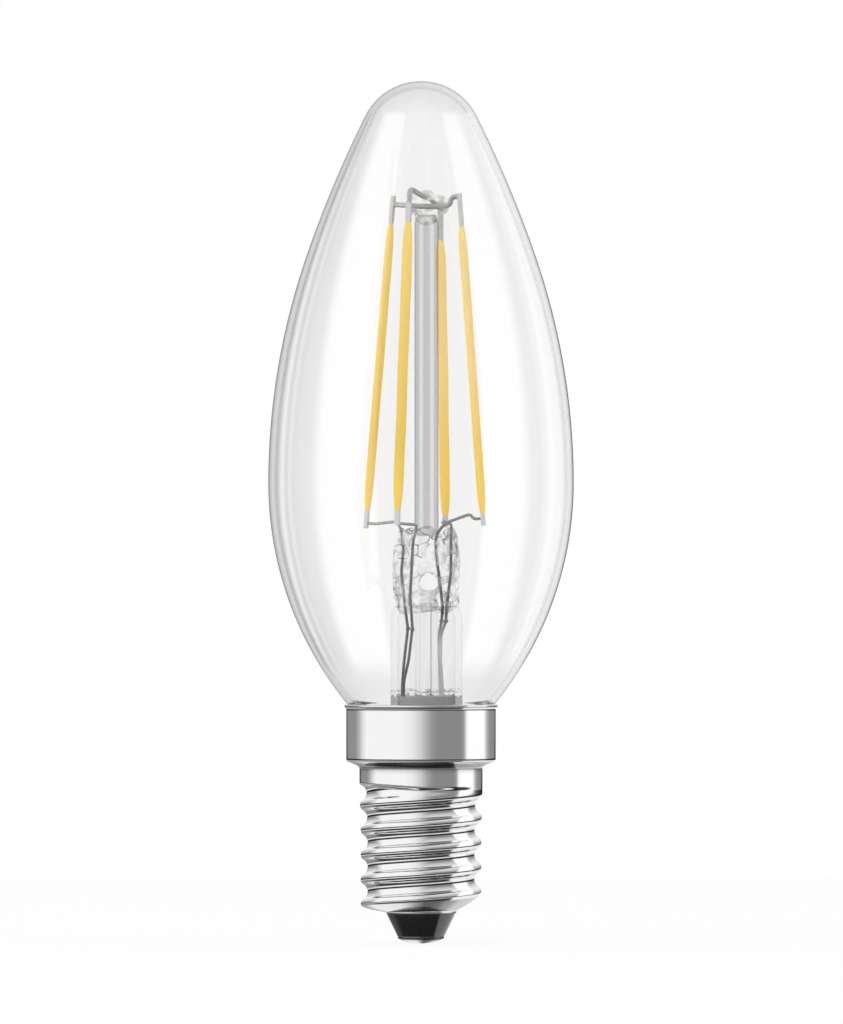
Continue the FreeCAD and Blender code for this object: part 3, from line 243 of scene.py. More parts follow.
add_node(tree, "ShaderNodeOutputMaterial", {"Surface": floor_mix.outputs[0]})
floor.data.materials.append(board_paint)
floor.visible_glossy = False
floor.visible_transmission = False

# The envelope: soda-lime glass, blown in a candle-shaped mould, with a short neck that goes down inside
# the cap and is melted there to the flare. Its outline is four arcs, from a small tip to the neck.
BULB_RADIUS, LENGTH, TIP_RADIUS, GLASS_WALL = 17.45, 98.55, 7.1, 0.7
LOWER_RADIUS, RIM_RADIUS, CAP_HEIGHT, NECK_RADIUS, SEAL_HEIGHT = 40.0, 8.44, 27.35, 7.75, 22.2
BELLY_SHARE, FLANK_SHARE = 0.6363, 0.8875
TIP_STEPS, FLANK_STEPS, BELLY_STEPS, LOWER_STEPS, NECK_STEPS = 25, 24, 36, 40, 8
TIP_START = math.radians(89)


def linear(written):
    """A written sRGB colour as the linear one that the shaders take."""
    channels = [int(written[place:place + 2], 16) / 255 for place in (1, 3, 5)]
    return [c / 12.92 if c <= 0.04045 else ((c + 0.055) / 1.055) ** 2.4 for c in channels] + [1.0]


def turned(name, stations, segments=192):
    """Turns a piece on the bulb's axis: a circle is extruded and resized from station to station."""
    bpy.ops.object.select_all(action="DESELECT")
    radius, level = stations[0]
    bpy.ops.mesh.primitive_circle_add(
        vertices=segments, radius=radius * MM, location=(0, 0, level * MM))
    piece = bpy.context.object
    piece.name = name
    piece.data.name = name
    bpy.ops.object.transform_apply(location=True, rotation=True, scale=True)
    bpy.ops.object.mode_set(mode="EDIT")
    bpy.ops.mesh.select_all(action="SELECT")
    for next_radius, next_level in stations[1:]:
        step = (0, 0, (next_level - level) * MM)
        bpy.ops.mesh.extrude_region_move(TRANSFORM_OT_translate={"value": step})
        if next_radius > 0:
            widened = next_radius / radius
            bpy.ops.transform.resize(value=(widened, widened, 1))
            radius = next_radius
        else:
            bpy.ops.mesh.merge(type="CENTER")
        level = next_level
    bpy.ops.mesh.select_all(action="SELECT")
    bpy.ops.mesh.normals_make_consistent(inside=False)
    bpy.ops.object.mode_set(mode="OBJECT")
    bpy.ops.object.shade_smooth()
    return piece


def finished_with(piece, kind, **settings):
    """Adds a modifier to a piece and applies it."""
    modifier = piece.modifiers.new(kind.title(), kind)
    for name, value in settings.items():
        setattr(modifier, name, value)
    bpy.ops.object.select_all(action="DESELECT")
    bpy.context.view_layer.objects.active = piece
    piece.select_set(True)
    bpy.ops.object.modifier_apply(modifier=modifier.name)


def material_named(name):
    """A material with an empty node tree."""
    material = bpy.data.materials.new(name)
    material.use_nodes = True
    material.node_tree.nodes.clear()
    return material, material.node_tree


# The arcs of the belly and the flank are as large as they must be to meet the widest part and the tip.
seat_turn = math.acos((RIM_RADIUS - BULB_RADIUS + LOWER_RADIUS) / LOWER_RADIUS)
widest = CAP_HEIGHT + LOWER_RADIUS * math.sin(seat_turn)
tip_centre = LENGTH - TIP_RADIUS
rise = tip_centre - widest
one_arc = (BULB_RADIUS ** 2 - TIP_RADIUS ** 2 + rise ** 2) / (2 * (BULB_RADIUS - TIP_RADIUS))
whole_turn = math.asin(rise / (one_arc - TIP_RADIUS))
belly_turn, flank_turn = BELLY_SHARE * whole_turn, FLANK_SHARE * whole_turn
belly_cos, belly_sin = math.cos(belly_turn), math.sin(belly_turn)
flank_cos, flank_sin = math.cos(flank_turn), math.sin(flank_turn)
reach, climb = BULB_RADIUS - TIP_RADIUS * flank_cos, rise + TIP_RADIUS * flank_sin
ratio = (1 - belly_cos) * (flank_sin - belly_sin) - (belly_cos - flank_cos) * belly_sin
belly = (reach * (flank_sin - belly_sin) - climb * (belly_cos - flank_cos)) / ratio
flank = ((1 - belly_cos) * climb - belly_sin * reach) / ratio
neck_rounding = (RIM_RADIUS - NECK_RADIUS) / (1 - math.cos(seat_turn))


def upper_outline(turn):
    """Radius and height of the glass above its widest part, by how far its surface has turned up."""
    if turn <= belly_turn:
        return BULB_RADIUS - belly * (1 - math.cos(turn)), widest + belly * math.sin(turn)
    if turn <= flank_turn:
        return (BULB_RADIUS - belly * (1 - belly_cos) - flank * (belly_cos - math.cos(turn)),
                widest + belly * belly_sin + flank * (math.sin(turn) - belly_sin))
    return TIP_RADIUS * math.cos(turn), tip_centre + TIP_RADIUS * math.sin(turn)


outline = []
for step in range(TIP_STEPS + 1):
    outline.append(upper_outline(TIP_START - (TIP_START - flank_turn) * step / TIP_STEPS))
for step in range(1, FLANK_STEPS + 1):
    outline.append(upper_outline(flank_turn + (belly_turn - flank_turn) * step / FLANK_STEPS))
for step in range(1, BELLY_STEPS + 1):
    outline.append(upper_outline(belly_turn * (1 - step / BELLY_STEPS)))
for step in range(1, LOWER_STEPS + 1):
    turn = seat_turn * step / LOWER_STEPS
    outline.append((BULB_RADIUS - LOWER_RADIUS * (1 - math.cos(turn)),
                    widest - LOWER_RADIUS * math.sin(turn)))
neck_level = CAP_HEIGHT - neck_rounding * math.sin(seat_turn)
for step in range(1, NECK_STEPS + 1):
    turn = seat_turn * (1 - step / NECK_STEPS)
    outline.append((NECK_RADIUS + neck_rounding * (1 - math.cos(turn)),
                    neck_level + neck_rounding * math.sin(turn)))
outline.append((NECK_RADIUS, SEAL_HEIGHT + 0.05))
outline.reverse()
envelope = turned("envelope", outline + [(0, LENGTH)])
finished_with(envelope, "SOLIDIFY", thickness=GLASS_WALL * MM, offset=-1, use_even_offset=True)
clear_glass, tree = material_named("Blown_soda_lime_glass")
# Blown glass is smooth to the eye and hardly tinted, so all it shows is what it mirrors and bends.
glass = add_node(tree, "ShaderNodeBsdfPrincipled", {
    "Base Color": (1, 1, 1, 1), "Roughness": 0.0, "IOR": 1.5, "Transmission Weight": 1.0})
shadow_ray = add_node(tree, "ShaderNodeLightPath").outputs["Is Shadow Ray"]
clear = add_node(tree, "ShaderNodeBsdfTransparent", {"Color": linear("#F4F5F5")})
lit = add_node(tree, "ShaderNodeMixShader", {0: shadow_ray, 1: glass.outputs[0], 2: clear.outputs[0]})
add_node(tree, "ShaderNodeOutputMaterial", {"Surface": lit.outputs[0]})
envelope.data.materials.append(clear_glass)
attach(envelope, "root")
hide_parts("glass_envelope")

# The cap: nickel-plated brass sheet, drawn to a cup and rolled with a round E14 thread.
# The glass stands in its wide skirt, under a rolled lip.
CREST, ROOT, PITCH, THREAD_START = 6.9, 6.1, 2.822, 3.08
BAND_RADIUS, SKIRT_RADIUS, LIP_RADIUS, SHEET = 7.03, 8.54, 8.74, 0.25
CREST_ROUND, ROOT_ROUND = 0.62, 1.02
END_HEIGHT, END_MOUTH = 3.54, 4.05
flank_slope = math.asin(PITCH / 2 / (CREST_ROUND + ROOT_ROUND))


def thread_drop(distance):
    """How far the rolled thread lies below its crest, by the distance along the axis from the crest."""
    distance = abs((distance + PITCH / 2) % PITCH - PITCH / 2)
    if distance <= CREST_ROUND * math.sin(flank_slope):
        return CREST_ROUND - math.sqrt(CREST_ROUND ** 2 - distance ** 2)
    rest = PITCH / 2 - distance
    return CREST - ROOT - ROOT_ROUND + math.sqrt(ROOT_ROUND ** 2 - rest ** 2)


def held(share):
    """A share held between 0 and 1."""
    return min(max(share, 0), 1)


def eased(share):
    """A share held between 0 and 1 that starts and ends gently."""
    share = held(share)
    return share * share * (3 - 2 * share)


cap_outline = [
    (8.30, 27.28), (8.45, 27.34), (8.60, CAP_HEIGHT), (8.70, 27.31), (LIP_RADIUS, 27.22),
    (LIP_RADIUS, 27.05), (8.70, 26.96), (8.61, 26.91), (8.55, 26.86), (SKIRT_RADIUS, 26.78),
    (SKIRT_RADIUS, 26.6), (SKIRT_RADIUS, 24.0), (SKIRT_RADIUS, 21.2), (SKIRT_RADIUS, 21.02),
    (8.52, 20.92), (8.45, 20.84), (8.3, 20.76), (7.60, 20.48), (7.30, 20.34), (7.14, 20.22),
    (7.07, 20.12), (7.045, 20.06), (7.033, 20.02), (BAND_RADIUS, 19.99), (BAND_RADIUS, 19.95),
    (BAND_RADIUS, 19.6)]
# The rings of the thread lie 0.11 mm apart, and closer where its groove ends at the band.
RING_STEP, FINE_STEP, FINE_FROM, FINE_TO = 0.11, 0.05, 17.3, 18.5
level = 19.2
while level > 3.75:
    cap_outline.append((BAND_RADIUS, level))
    level -= FINE_STEP if FINE_FROM < level < FINE_TO else RING_STEP
cap_outline += [(BAND_RADIUS, level) for level in (3.72, 3.66, 3.61, 3.575, 3.555, 3.544, END_HEIGHT)]
cap_outline += [(4.03, END_HEIGHT), (4.0, END_HEIGHT)]
cap = turned("cap", cap_outline, segments=224)

# The groove runs out under the band, whose lower edge is a little higher on the left.
PLAIN_ABOVE, RUN_OUT_START, RUN_OUT_HEIGHT = 19.3, 17.2, 1.2
BAND_EDGE, EDGE_RISE, EDGE_HEIGHT = 17.5, 0.45, 0.48
# The crests widen towards the band, from here up.
WIDENING_START, WIDENING_HEIGHT = 12.6, 5
# At the lower end the groove fades, and the sheet curls in over the insulator from the last crest on.
LOW_FADE_START, LOW_FADE_HEIGHT = 5.3, 0.9
CURL_START, CURL_RISE, CURL_TURN = 4.25, 1.65, math.radians(150)
CURL_REACH, CURL_POWER, POWER_LOSS, POWER_LEVEL = 3.2, 2.2, 0.57, 4.4
for point in cap.data.vertices:
    angle = math.atan2(point.co.y, point.co.x) % (2 * math.pi)
    level = point.co.z / MM
    radius = math.hypot(point.co.x, point.co.y) / MM
    if level > PLAIN_ABOVE or radius < END_MOUTH:
        continue
    turns_up = (level - THREAD_START) / PITCH - angle / (2 * math.pi)
    groove = THREAD_START + PITCH * (angle / (2 * math.pi) + math.floor(turns_up) + 0.5)
    fade = max(eased((groove - RUN_OUT_START) / RUN_OUT_HEIGHT),
               held((LOW_FADE_START - groove) / LOW_FADE_HEIGHT))
    threaded = CREST + (BAND_RADIUS - CREST) * held((level - WIDENING_START) / WIDENING_HEIGHT)
    threaded -= thread_drop(turns_up * PITCH) * (1 - fade)
    band_edge = BAND_EDGE + EDGE_RISE * max(-math.cos(angle), 0)
    threaded += (BAND_RADIUS - threaded) * eased((level - band_edge) / EDGE_HEIGHT)
    last_crest = max(THREAD_START + PITCH * angle / (2 * math.pi),
                     CURL_START + CURL_RISE * eased(1 - angle / CURL_TURN))
    if level < last_crest:
        curl = (last_crest - level) / (last_crest - END_HEIGHT)
        end_round = CREST - CURL_REACH * curl ** (CURL_POWER - POWER_LOSS * (last_crest - POWER_LEVEL))
        threaded = min(threaded, max(end_round, END_MOUTH))
    moved = threaded / radius
    point.co.x *= moved
    point.co.y *= moved
finished_with(cap, "SOLIDIFY", thickness=SHEET * MM, offset=-1, use_even_offset=True)
nickel, tree = material_named("Nickel_plated_drawn_brass")
# Drawing and rolling leave fine lines round the cup, a few hundredths of a millimetre apart, and the
# bright plating softens them: they show as a faint unevenness of the mirror image.
place = add_node(tree, "ShaderNodeTexCoord").outputs["Object"]
drawn = add_node(tree, "ShaderNodeMapping", {"Vector": place, "Scale": (60, 60, 2600)}).outputs[0]
fine = add_node(tree, "ShaderNodeTexNoise", {"Vector": drawn, "Scale": 1.0, "Detail": 3.0}).outputs[0]
dulled = add_node(tree, "ShaderNodeMapRange", {0: fine, 1: 0.3, 2: 0.7, 3: 0.045, 4: 0.085})
waves = add_node(tree, "ShaderNodeBump", {"Height": fine, "Strength": 0.03, "Distance": 0.02 * MM})
height = add_node(tree, "ShaderNodeSeparateXYZ", {0: place}).outputs["Z"]
share = add_node(tree, "ShaderNodeMapRange", {0: height, 1: 0.0, 2: 30 * MM}).outputs[0]
# Painted shade: the base colour darkens in the two inner corners, under the skirt and at the crimped
# contact, where shade falls.
corner_shade = add_node(tree, "ShaderNodeValToRGB", {0: share}, stops=[(z / 30, grey) for z, grey in [
    (0.0, 0.91), (0.40, 0.91), (0.47, 0.14), (1.0, 0.14), (3.0, 0.91), (19.3, 0.91), (19.54, 0.86),
    (19.66, 0.8), (19.77, 0.72), (19.89, 0.62), (20.0, 0.54), (20.11, 0.5), (20.23, 0.46),
    (20.36, 0.4), (20.5, 0.34), (20.62, 0.42), (20.76, 0.85), (20.95, 0.91)]]).outputs[0]
plated = add_node(tree, "ShaderNodeBsdfPrincipled", {
    "Base Color": corner_shade, "Metallic": 1.0, "Roughness": dulled.outputs[0],
    "Normal": waves.outputs[0]})
add_node(tree, "ShaderNodeOutputMaterial", {"Surface": plated.outputs[0]})
cap.data.materials.append(nickel)
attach(cap, "root")
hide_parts("cap_shell")

# The insulator: black glass, pressed hot into the mouth of the cap, a cone with a flat bottom rim.
# It keeps the contact apart from the cap.
insulator = turned("insulator", [
    (4.7, 5.55), (4.7, 4.7), (4.3, 4.15), (4.0, 3.8), (3.97, 3.56), (3.96, 3.50), (3.93, 3.42),
    (2.72, 0.92), (2.64, 0.80), (2.5, 0.76)], segments=128)
finished_with(insulator, "SOLIDIFY", thickness=0.4 * MM, offset=-1)
black_glass, tree = material_named("Pressed_black_glass")
# Glass pressed in a mould is glossy with a slight unevenness about a millimetre across.
place = add_node(tree, "ShaderNodeTexCoord").outputs["Object"]
flow = add_node(tree, "ShaderNodeTexNoise", {"Vector": place, "Scale": 700.0, "Detail": 2.0}).outputs[0]
skin = add_node(tree, "ShaderNodeBump", {"Height": flow, "Strength": 0.05, "Distance": 0.05 * MM})
pressed = add_node(tree, "ShaderNodeBsdfPrincipled", {
    "Base Color": linear("#1E1E1E"), "Roughness": 0.12, "IOR": 1.9, "Normal": skin.outputs[0]})
add_node(tree, "ShaderNodeOutputMaterial", {"Surface": pressed.outputs[0]})
insulator.data.materials.append(black_glass)
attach(insulator, "root")
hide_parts("cap_insulator")

# The contact: a nickel-plated disc, domed in a press, crimped to the bottom of the insulator.
# The bulb stands on the middle of the dome.
DOME_RADIUS, DOME_EDGE = 6.5, 2.6
dome = [(DOME_EDGE, 0.86), (2.65, 0.80), (2.65, 0.62), (2.62, 0.56)]
for step in range(1, 13):
    across = DOME_EDGE * (1 - step / 12.5)
    dome.append((across, DOME_RADIUS - math.sqrt(DOME_RADIUS ** 2 - across ** 2)))
contact = turned("contact", dome + [(0, 0.0)], segments=96)
finished_with(contact, "SOLIDIFY", thickness=0.3 * MM, offset=-1)
contact.data.materials.append(nickel)
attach(contact, "root")
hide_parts("centre_contact")

# The stem: a flare tube and, down its middle, the thin tube that the bulb was pumped empty through.
# Both are lead-free glass tubing, so thin that they show only as faint edges. The whole mount stands
# a little to the right of the bulb's axis.
STEM_SHIFT, TUBE_RADIUS, EXHAUST_RADIUS = 0.63, 4.1, 1.4
STEM = Vector((STEM_SHIFT, 0, 0)) * MM
tube_outline = [(7.05, SEAL_HEIGHT + 0.05), (6.2, 22.25), (5.3, 22.7), (4.7, 23.3), (4.3, 24.0),
                (TUBE_RADIUS, 24.9), (TUBE_RADIUS, 26.5)]
tube_outline += [(TUBE_RADIUS, level) for level in (28, 30, 32, 34, 36, 37.2)]
tube_outline += [(3.95, 38.0), (3.7, 38.6)]
flare = turned("flare_tube", tube_outline, segments=96)
finished_with(flare, "SOLIDIFY", thickness=0.8 * MM, offset=-1)
exhaust_outline = [(EXHAUST_RADIUS, level) for level in (21.6, 24, 27, 30, 33, 36, 39.0)]
exhaust = turned("exhaust_tube_glass", exhaust_outline, segments=64)
finished_with(exhaust, "SOLIDIFY", thickness=0.5 * MM, offset=-1)


def thin_glass(name, stops, gloss, painted_bands=()):
    """Glass too thin to bend the view: painted shade darkens it at its edges and in given bands, and it
    mirrors a little.
    """
    material, tree = material_named(name)
    edge = add_node(tree, "ShaderNodeLayerWeight", {"Blend": 0.5}).outputs["Facing"]
    tint = add_node(tree, "ShaderNodeValToRGB", {0: edge}, stops=stops).outputs[0]
    spot = add_node(tree, "ShaderNodeTexCoord").outputs["Object"]
    parts = add_node(tree, "ShaderNodeSeparateXYZ", {0: spot}).outputs
    grain = add_node(tree, "ShaderNodeTexNoise", {"Vector": spot, "Scale": 1300.0, "Detail": 3.0})
    # Painted shade: each band darkens the tint between two places along one axis, most on the rear wall,
    # standing in for what real glass would bend into view.
    for axis, first, last, band_stops in painted_bands:
        along_axis = add_node(tree, "ShaderNodeMapRange", {
            0: parts[axis], 1: first * MM, 2: last * MM}).outputs[0]
        if axis == "Z":
            wavy = add_node(tree, "ShaderNodeMapRange", {
                0: grain.outputs[0], 1: 0.3, 2: 0.7, 3: -0.16, 4: 0.16}).outputs[0]
            along_axis = add_node(tree, "ShaderNodeMath", {0: along_axis, 1: wavy},
                                  operation="ADD").outputs[0]
        shade = add_node(tree, "ShaderNodeValToRGB", {0: along_axis}, stops=band_stops).outputs[0]
        rear = add_node(tree, "ShaderNodeMapRange", {
            0: parts["Y"], 1: -0.3 * MM, 2: 0.3 * MM, 3: 0.12, 4: 1.0}).outputs[0]
        tint = add_node(tree, "ShaderNodeMix", {0: rear, 6: tint, 7: shade},
                        data_type="RGBA", blend_type="MULTIPLY").outputs[2]
    through = add_node(tree, "ShaderNodeBsdfTransparent", {"Color": tint}).outputs[0]
    skin = add_node(tree, "ShaderNodeBsdfGlossy", {"Color": (1, 1, 1, 1), "Roughness": 0.0}).outputs[0]
    mirror = add_node(tree, "ShaderNodeValToRGB", {0: edge}, stops=[
        (0.0, 0.04), (0.5, 0.06), (0.8, 0.2), (1.0, 0.6)]).outputs[0]
    little = add_node(tree, "ShaderNodeMath", {0: mirror, 1: gloss}, operation="MULTIPLY").outputs[0]
    both = add_node(tree, "ShaderNodeMixShader", {0: little, 1: through, 2: skin})
    add_node(tree, "ShaderNodeOutputMaterial", {"Surface": both.outputs[0]})
    return material


# Painted shade: a grey band round the plug, 27.6 to 29.6 mm up, mostly on the rear wall, with a wavy rim.
tube_glass = thin_glass("Drawn_glass_tubing", [
    (0.0, 0.99), (0.5, 0.985), (0.75, 0.965), (0.9, 0.95), (1.0, 0.82)], 0.15, [
        ("Z", 27.6, 29.6, [(0.0, 0.5), (0.34, 0.5), (0.38, 0.4), (0.42, 0.97), (0.60, 1.0),
                           (0.66, 0.5), (0.72, 1.0)])])
# Painted shade: a dark line down the exhaust tube, 0.9 to 1.4 mm right of the bulb's axis.
narrow_glass = thin_glass("Narrow_glass_tubing", [
    (0.0, 0.995), (0.3, 0.99), (0.45, 0.955), (0.6, 0.97), (0.8, 1.0), (1.0, 0.92)], 0.15, [
        ("X", 0.9, 1.4, [(0.0, 1.0), (0.36, 1.0), (0.42, 0.6), (0.56, 0.6), (0.62, 1.0)])])
for tube, glass_kind, stood_for in (
        (flare, tube_glass, "stem_flare"), (exhaust, narrow_glass, "exhaust_tube")):
    tube.data.transform(Matrix.Translation(STEM))
    tube.data.materials.append(glass_kind)
    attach(tube, "root")
    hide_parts(stood_for)

# The rod: solid glass drawn to a rod, melted to the press at its foot and to the bead at its top.
# A solid rod gathers the light in bands along its length; here those bands are painted shade in its tint,
# by how far its surface faces away.
ROD_RADIUS = 1.37


def ends_closed():
    """Closes both open ends of the turned piece that was made last."""
    bpy.ops.object.mode_set(mode="EDIT")
    bpy.ops.mesh.select_all(action="SELECT")
    bpy.ops.mesh.region_to_loop()
    bpy.ops.mesh.edge_face_add()
    bpy.ops.object.mode_set(mode="OBJECT")


rod_outline = [(0.9, 46.6), (1.15, 46.9), (ROD_RADIUS, 47.5)]
rod_outline += [(ROD_RADIUS, 48 + 2.5 * n) for n in range(14)]
rod_outline += [(ROD_RADIUS, 82.2), (1.2, 82.8), (0.9, 83.2)]
rod = turned("rod_glass", rod_outline, segments=64)
ends_closed()
rod.data.transform(Matrix.Translation(STEM))
rod.data.materials.append(thin_glass("Drawn_glass_rod", [
    (0.0, 0.79), (0.032, 0.79), (0.05, 0.89), (0.18, 0.89), (0.23, 0.78), (0.48, 0.77), (0.6, 0.68),
    (1.0, 0.6)], 0.3))
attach(rod, "root")
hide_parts("support_rod")

# The press: the top of the flare, heated and squeezed flat round the wires by a pair of jaws. The jaws
# leave a lump at each wire and a web between them, with the blow hole and the end of the bore.
# The bead: the top of the rod, melted to a drop round the two wires that carry the filaments.
PRESS_LUMPS = [
    ((-2.75, 0.3, 42.6), (1.15, 1.7, 5.0)), ((2.75, 0.3, 42.8), (1.1, 1.6, 4.9)),
    ((-1.2, 0, 42.4), (1.7, 1.05, 4.7)), ((1.2, 0, 42.4), (1.8, 1.05, 4.7)),
    ((0, 0, 46.0), (1.7, 1.4, 1.8)), ((-1.9, -0.6, 39.6), (1.6, 1.5, 1.9)),
    ((1.9, 0.3, 39.4), (1.9, 1.9, 1.7)), ((0, 0.1, 39.2), (2.6, 2.6, 1.4)),
    ((-1.8, -0.9, 46.4), (0.8, 0.8, 1.2)), ((2.5, 0.9, 46.6), (0.8, 0.8, 1.1))]
PRESS_HOLES = [
    ((0.5, -0.9, 44.3), (1.15, 1.0, 1.15)), ((0.35, 0, 41.2), (1.35, 1.3, 1.35)),
    ((0.2, 0, 39.0), (0.95, 0.95, 2.4))]
BEAD_LUMPS = [
    ((0.0, 0, 84.3), (1.9, 1.8, 1.7)), ((-1.2, 0, 84.6), (1.1, 1.3, 1.4)),
    ((1.4, -0.1, 84.3), (1.2, 1.2, 1.2)), ((0, 0, 82.9), (1.45, 1.45, 0.9))]
FLOW_ROUNDS, SWELL = 6, 0.14


def rounded_lump(spot, size):
    """One ball, stretched to its size at its place."""
    bpy.ops.mesh.primitive_uv_sphere_add(segments=32, ring_count=20, radius=1)
    lump = bpy.context.object
    lump.data.transform(Matrix.LocRotScale(Vector(spot) * MM, None, Vector(size) * MM))
    return lump


def melted(name, lumps, holes, grain, voxel):
    """Runs rounded lumps of glass together, as a flame does, and leaves their surface uneven."""
    bpy.ops.object.select_all(action="DESELECT")
    made = [rounded_lump(spot, size) for spot, size in lumps]
    bpy.ops.object.select_all(action="DESELECT")
    for lump in made:
        lump.select_set(True)
    bpy.context.view_layer.objects.active = made[0]
    bpy.ops.object.join()
    piece = bpy.context.object
    piece.name = name
    finished_with(piece, "REMESH", mode="VOXEL", voxel_size=voxel * MM)
    for spot, size in holes:
        hole = rounded_lump(spot, size)
        finished_with(piece, "BOOLEAN", operation="DIFFERENCE", object=hole, solver="EXACT")
        bpy.data.objects.remove(hole)
    finished_with(piece, "REMESH", mode="VOXEL", voxel_size=voxel * MM)
    finished_with(piece, "SMOOTH", factor=0.5, iterations=FLOW_ROUNDS)
    for point in piece.data.vertices:
        coarse = noise.noise(point.co / (grain * MM))
        bulge = coarse + 0.5 * noise.noise(point.co / (grain * MM * 0.45))
        point.co += point.normal * (bulge * SWELL * MM)
    piece.data.transform(Matrix.Translation(STEM))
    bpy.ops.object.shade_smooth()
    return piece


press = melted("press_glass", PRESS_LUMPS, PRESS_HOLES, grain=1.3, voxel=0.16)
bead = melted("bead_glass", BEAD_LUMPS, [], grain=1.0, voxel=0.12)
melted_glass, tree = material_named("Flame_worked_glass")
# Flame-worked glass is thick and uneven, so it throws the tent's light about in bright and dark patches.
glass = add_node(tree, "ShaderNodeBsdfPrincipled", {
    "Base Color": linear("#FAFAFA"), "Roughness": 0.0, "IOR": 1.5, "Transmission Weight": 1.0})
milky = add_node(tree, "ShaderNodeBsdfTranslucent", {"Color": (1, 1, 1, 1)})
cloudy = add_node(tree, "ShaderNodeMixShader", {0: 0.3, 1: glass.outputs[0], 2: milky.outputs[0]})
# Painted shade: fine dark lines, a millimetre or so apart, darken what passes through the glass where it
# was folded together.
place = add_node(tree, "ShaderNodeTexCoord").outputs["Object"]
bends = add_node(tree, "ShaderNodeTexNoise", {"Vector": place, "Scale": 420.0, "Detail": 2.0})
bent = add_node(tree, "ShaderNodeVectorMath", {0: bends.outputs["Color"], 3: 1.6 * MM},
                operation="SCALE").outputs[0]
folded = add_node(tree, "ShaderNodeVectorMath", {0: place, 1: bent}, operation="ADD").outputs[0]
cells = add_node(tree, "ShaderNodeTexVoronoi", {"Vector": folded, "Scale": 620.0},
                 feature="DISTANCE_TO_EDGE").outputs["Distance"]
stria_shade = add_node(tree, "ShaderNodeMapRange", {0: cells, 1: 0.01, 2: 0.045, 3: 0.12, 4: 1.0}).outputs[0]
strewn = add_node(tree, "ShaderNodeTexNoise", {"Vector": place, "Scale": 330.0, "Detail": 1.0})
where = add_node(tree, "ShaderNodeMapRange", {0: strewn.outputs[0], 1: 0.49, 2: 0.57}).outputs[0]
painted_striae = add_node(tree, "ShaderNodeMix", {0: where, 2: 1.0, 3: stria_shade}, data_type="FLOAT").outputs[0]
clear = add_node(tree, "ShaderNodeBsdfTransparent", {"Color": painted_striae})
# Between the patches the lumps are calm enough to be seen straight through.
seeds = add_node(tree, "ShaderNodeTexNoise", {"Vector": place, "Scale": 900.0, "Detail": 1.0})
calm = add_node(tree, "ShaderNodeMapRange", {
    0: seeds.outputs[0], 1: 0.44, 2: 0.56, 3: 0.5, 4: 0.95}).outputs[0]
shadow_ray = add_node(tree, "ShaderNodeLightPath").outputs["Is Shadow Ray"]
passing = add_node(tree, "ShaderNodeMath", {0: shadow_ray, 1: calm}, operation="MAXIMUM").outputs[0]
lit = add_node(tree, "ShaderNodeMixShader", {0: passing, 1: cloudy.outputs[0], 2: clear.outputs[0]})
add_node(tree, "ShaderNodeOutputMaterial", {"Surface": lit.outputs[0]})
for lump in (press, bead):
    lump.data.materials.append(melted_glass)
    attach(lump, "root")

# The filaments: each is a narrow ceramic strip with a row of LED chips, dipped in silicone that holds
# yellow phosphor powder. The silicone draws in to a rounded point at each end.
FILAMENT_ENDS = {
    "left": ((-6.17, 2.69, 49.35), (-3.43, 2.17, 82.33)),
    "front": ((-2.66, -6.41, 49.40), (-1.43, -4.00, 82.39)),
    "back": ((2.81, 6.68, 48.80), (2.25, 3.99, 81.79)),
    "right": ((7.03, -2.54, 49.00), (4.63, -1.21, 81.99)),
}
BARE_TOP = {"left": 0.1, "front": 0.0, "back": 1.35, "right": 0.0}
NOISE_PLACE = {"left": 0, "front": 40, "back": 80, "right": 120}
COAT_WIDTH, COAT_DEPTH, COAT_LENGTH = 1.22, 0.93, 33.1
STRIP_WIDTH, STRIP_DEPTH = 0.6, 0.36
end_shape = [(0.0, 0.34), (0.12, 0.50), (0.4, 0.64), (0.9, 0.76), (1.6, 0.87), (2.4, 0.95), (3.4, 1.0)]
coat_outline = [(share * 0.5, level) for level, share in end_shape]
coat_outline += [(0.5, 5.0 + 1.16 * n) for n in range(21)]
coat_outline += [(share * 0.5, COAT_LENGTH - level) for level, share in reversed(end_shape)]
coat_model = turned("coat_model", coat_outline, segments=28)
ends_closed()
coat_model.data.transform(Matrix.Diagonal((COAT_WIDTH / MM, COAT_DEPTH / MM, 1 / MM, 1)))
phosphor, tree = material_named("Silicone_with_phosphor_powder")
# The powder settles unevenly, so the yellow has fine specks, and it is paler towards the top of each coat.
place = add_node(tree, "ShaderNodeTexCoord").outputs["Object"]
spread = add_node(tree, "ShaderNodeSeparateXYZ", {0: place}).outputs
along = add_node(tree, "ShaderNodeMapRange", {0: spread["Z"], 1: 48.8 * MM, 2: 82.4 * MM}).outputs[0]
yellow_by_height = add_node(tree, "ShaderNodeValToRGB", {0: along}, stops=[
    (0.0, linear("#F5D058")), (0.25, linear("#F0D16E")), (0.5, linear("#F6DA92")),
    (0.85, linear("#F7DD98")), (1.0, linear("#F8E08E"))]).outputs[0]
# The coats on the left and in front are of a deeper, darker yellow.
left_and_front = add_node(tree, "ShaderNodeMapRange", {
    0: spread["X"], 1: -1 * MM, 2: 1 * MM, 3: 1.0, 4: 0.0}).outputs[0]
deeper = add_node(tree, "ShaderNodeValToRGB", {0: along}, stops=[
    (0.0, (1, 1, 1, 1)), (0.08, (0.97, 0.97, 0.95, 1)), (0.25, (0.88, 0.88, 0.62, 1)),
    (0.5, (0.90, 0.86, 0.46, 1)), (0.8, (0.94, 0.90, 0.58, 1)), (1.0, (0.96, 0.93, 0.7, 1))]).outputs[0]
yellow = add_node(tree, "ShaderNodeMix", {0: left_and_front, 6: yellow_by_height, 7: deeper},
                  data_type="RGBA", blend_type="MULTIPLY").outputs[2]
streaks = add_node(tree, "ShaderNodeMapping", {"Vector": place, "Scale": (2600, 2600, 330)}).outputs[0]
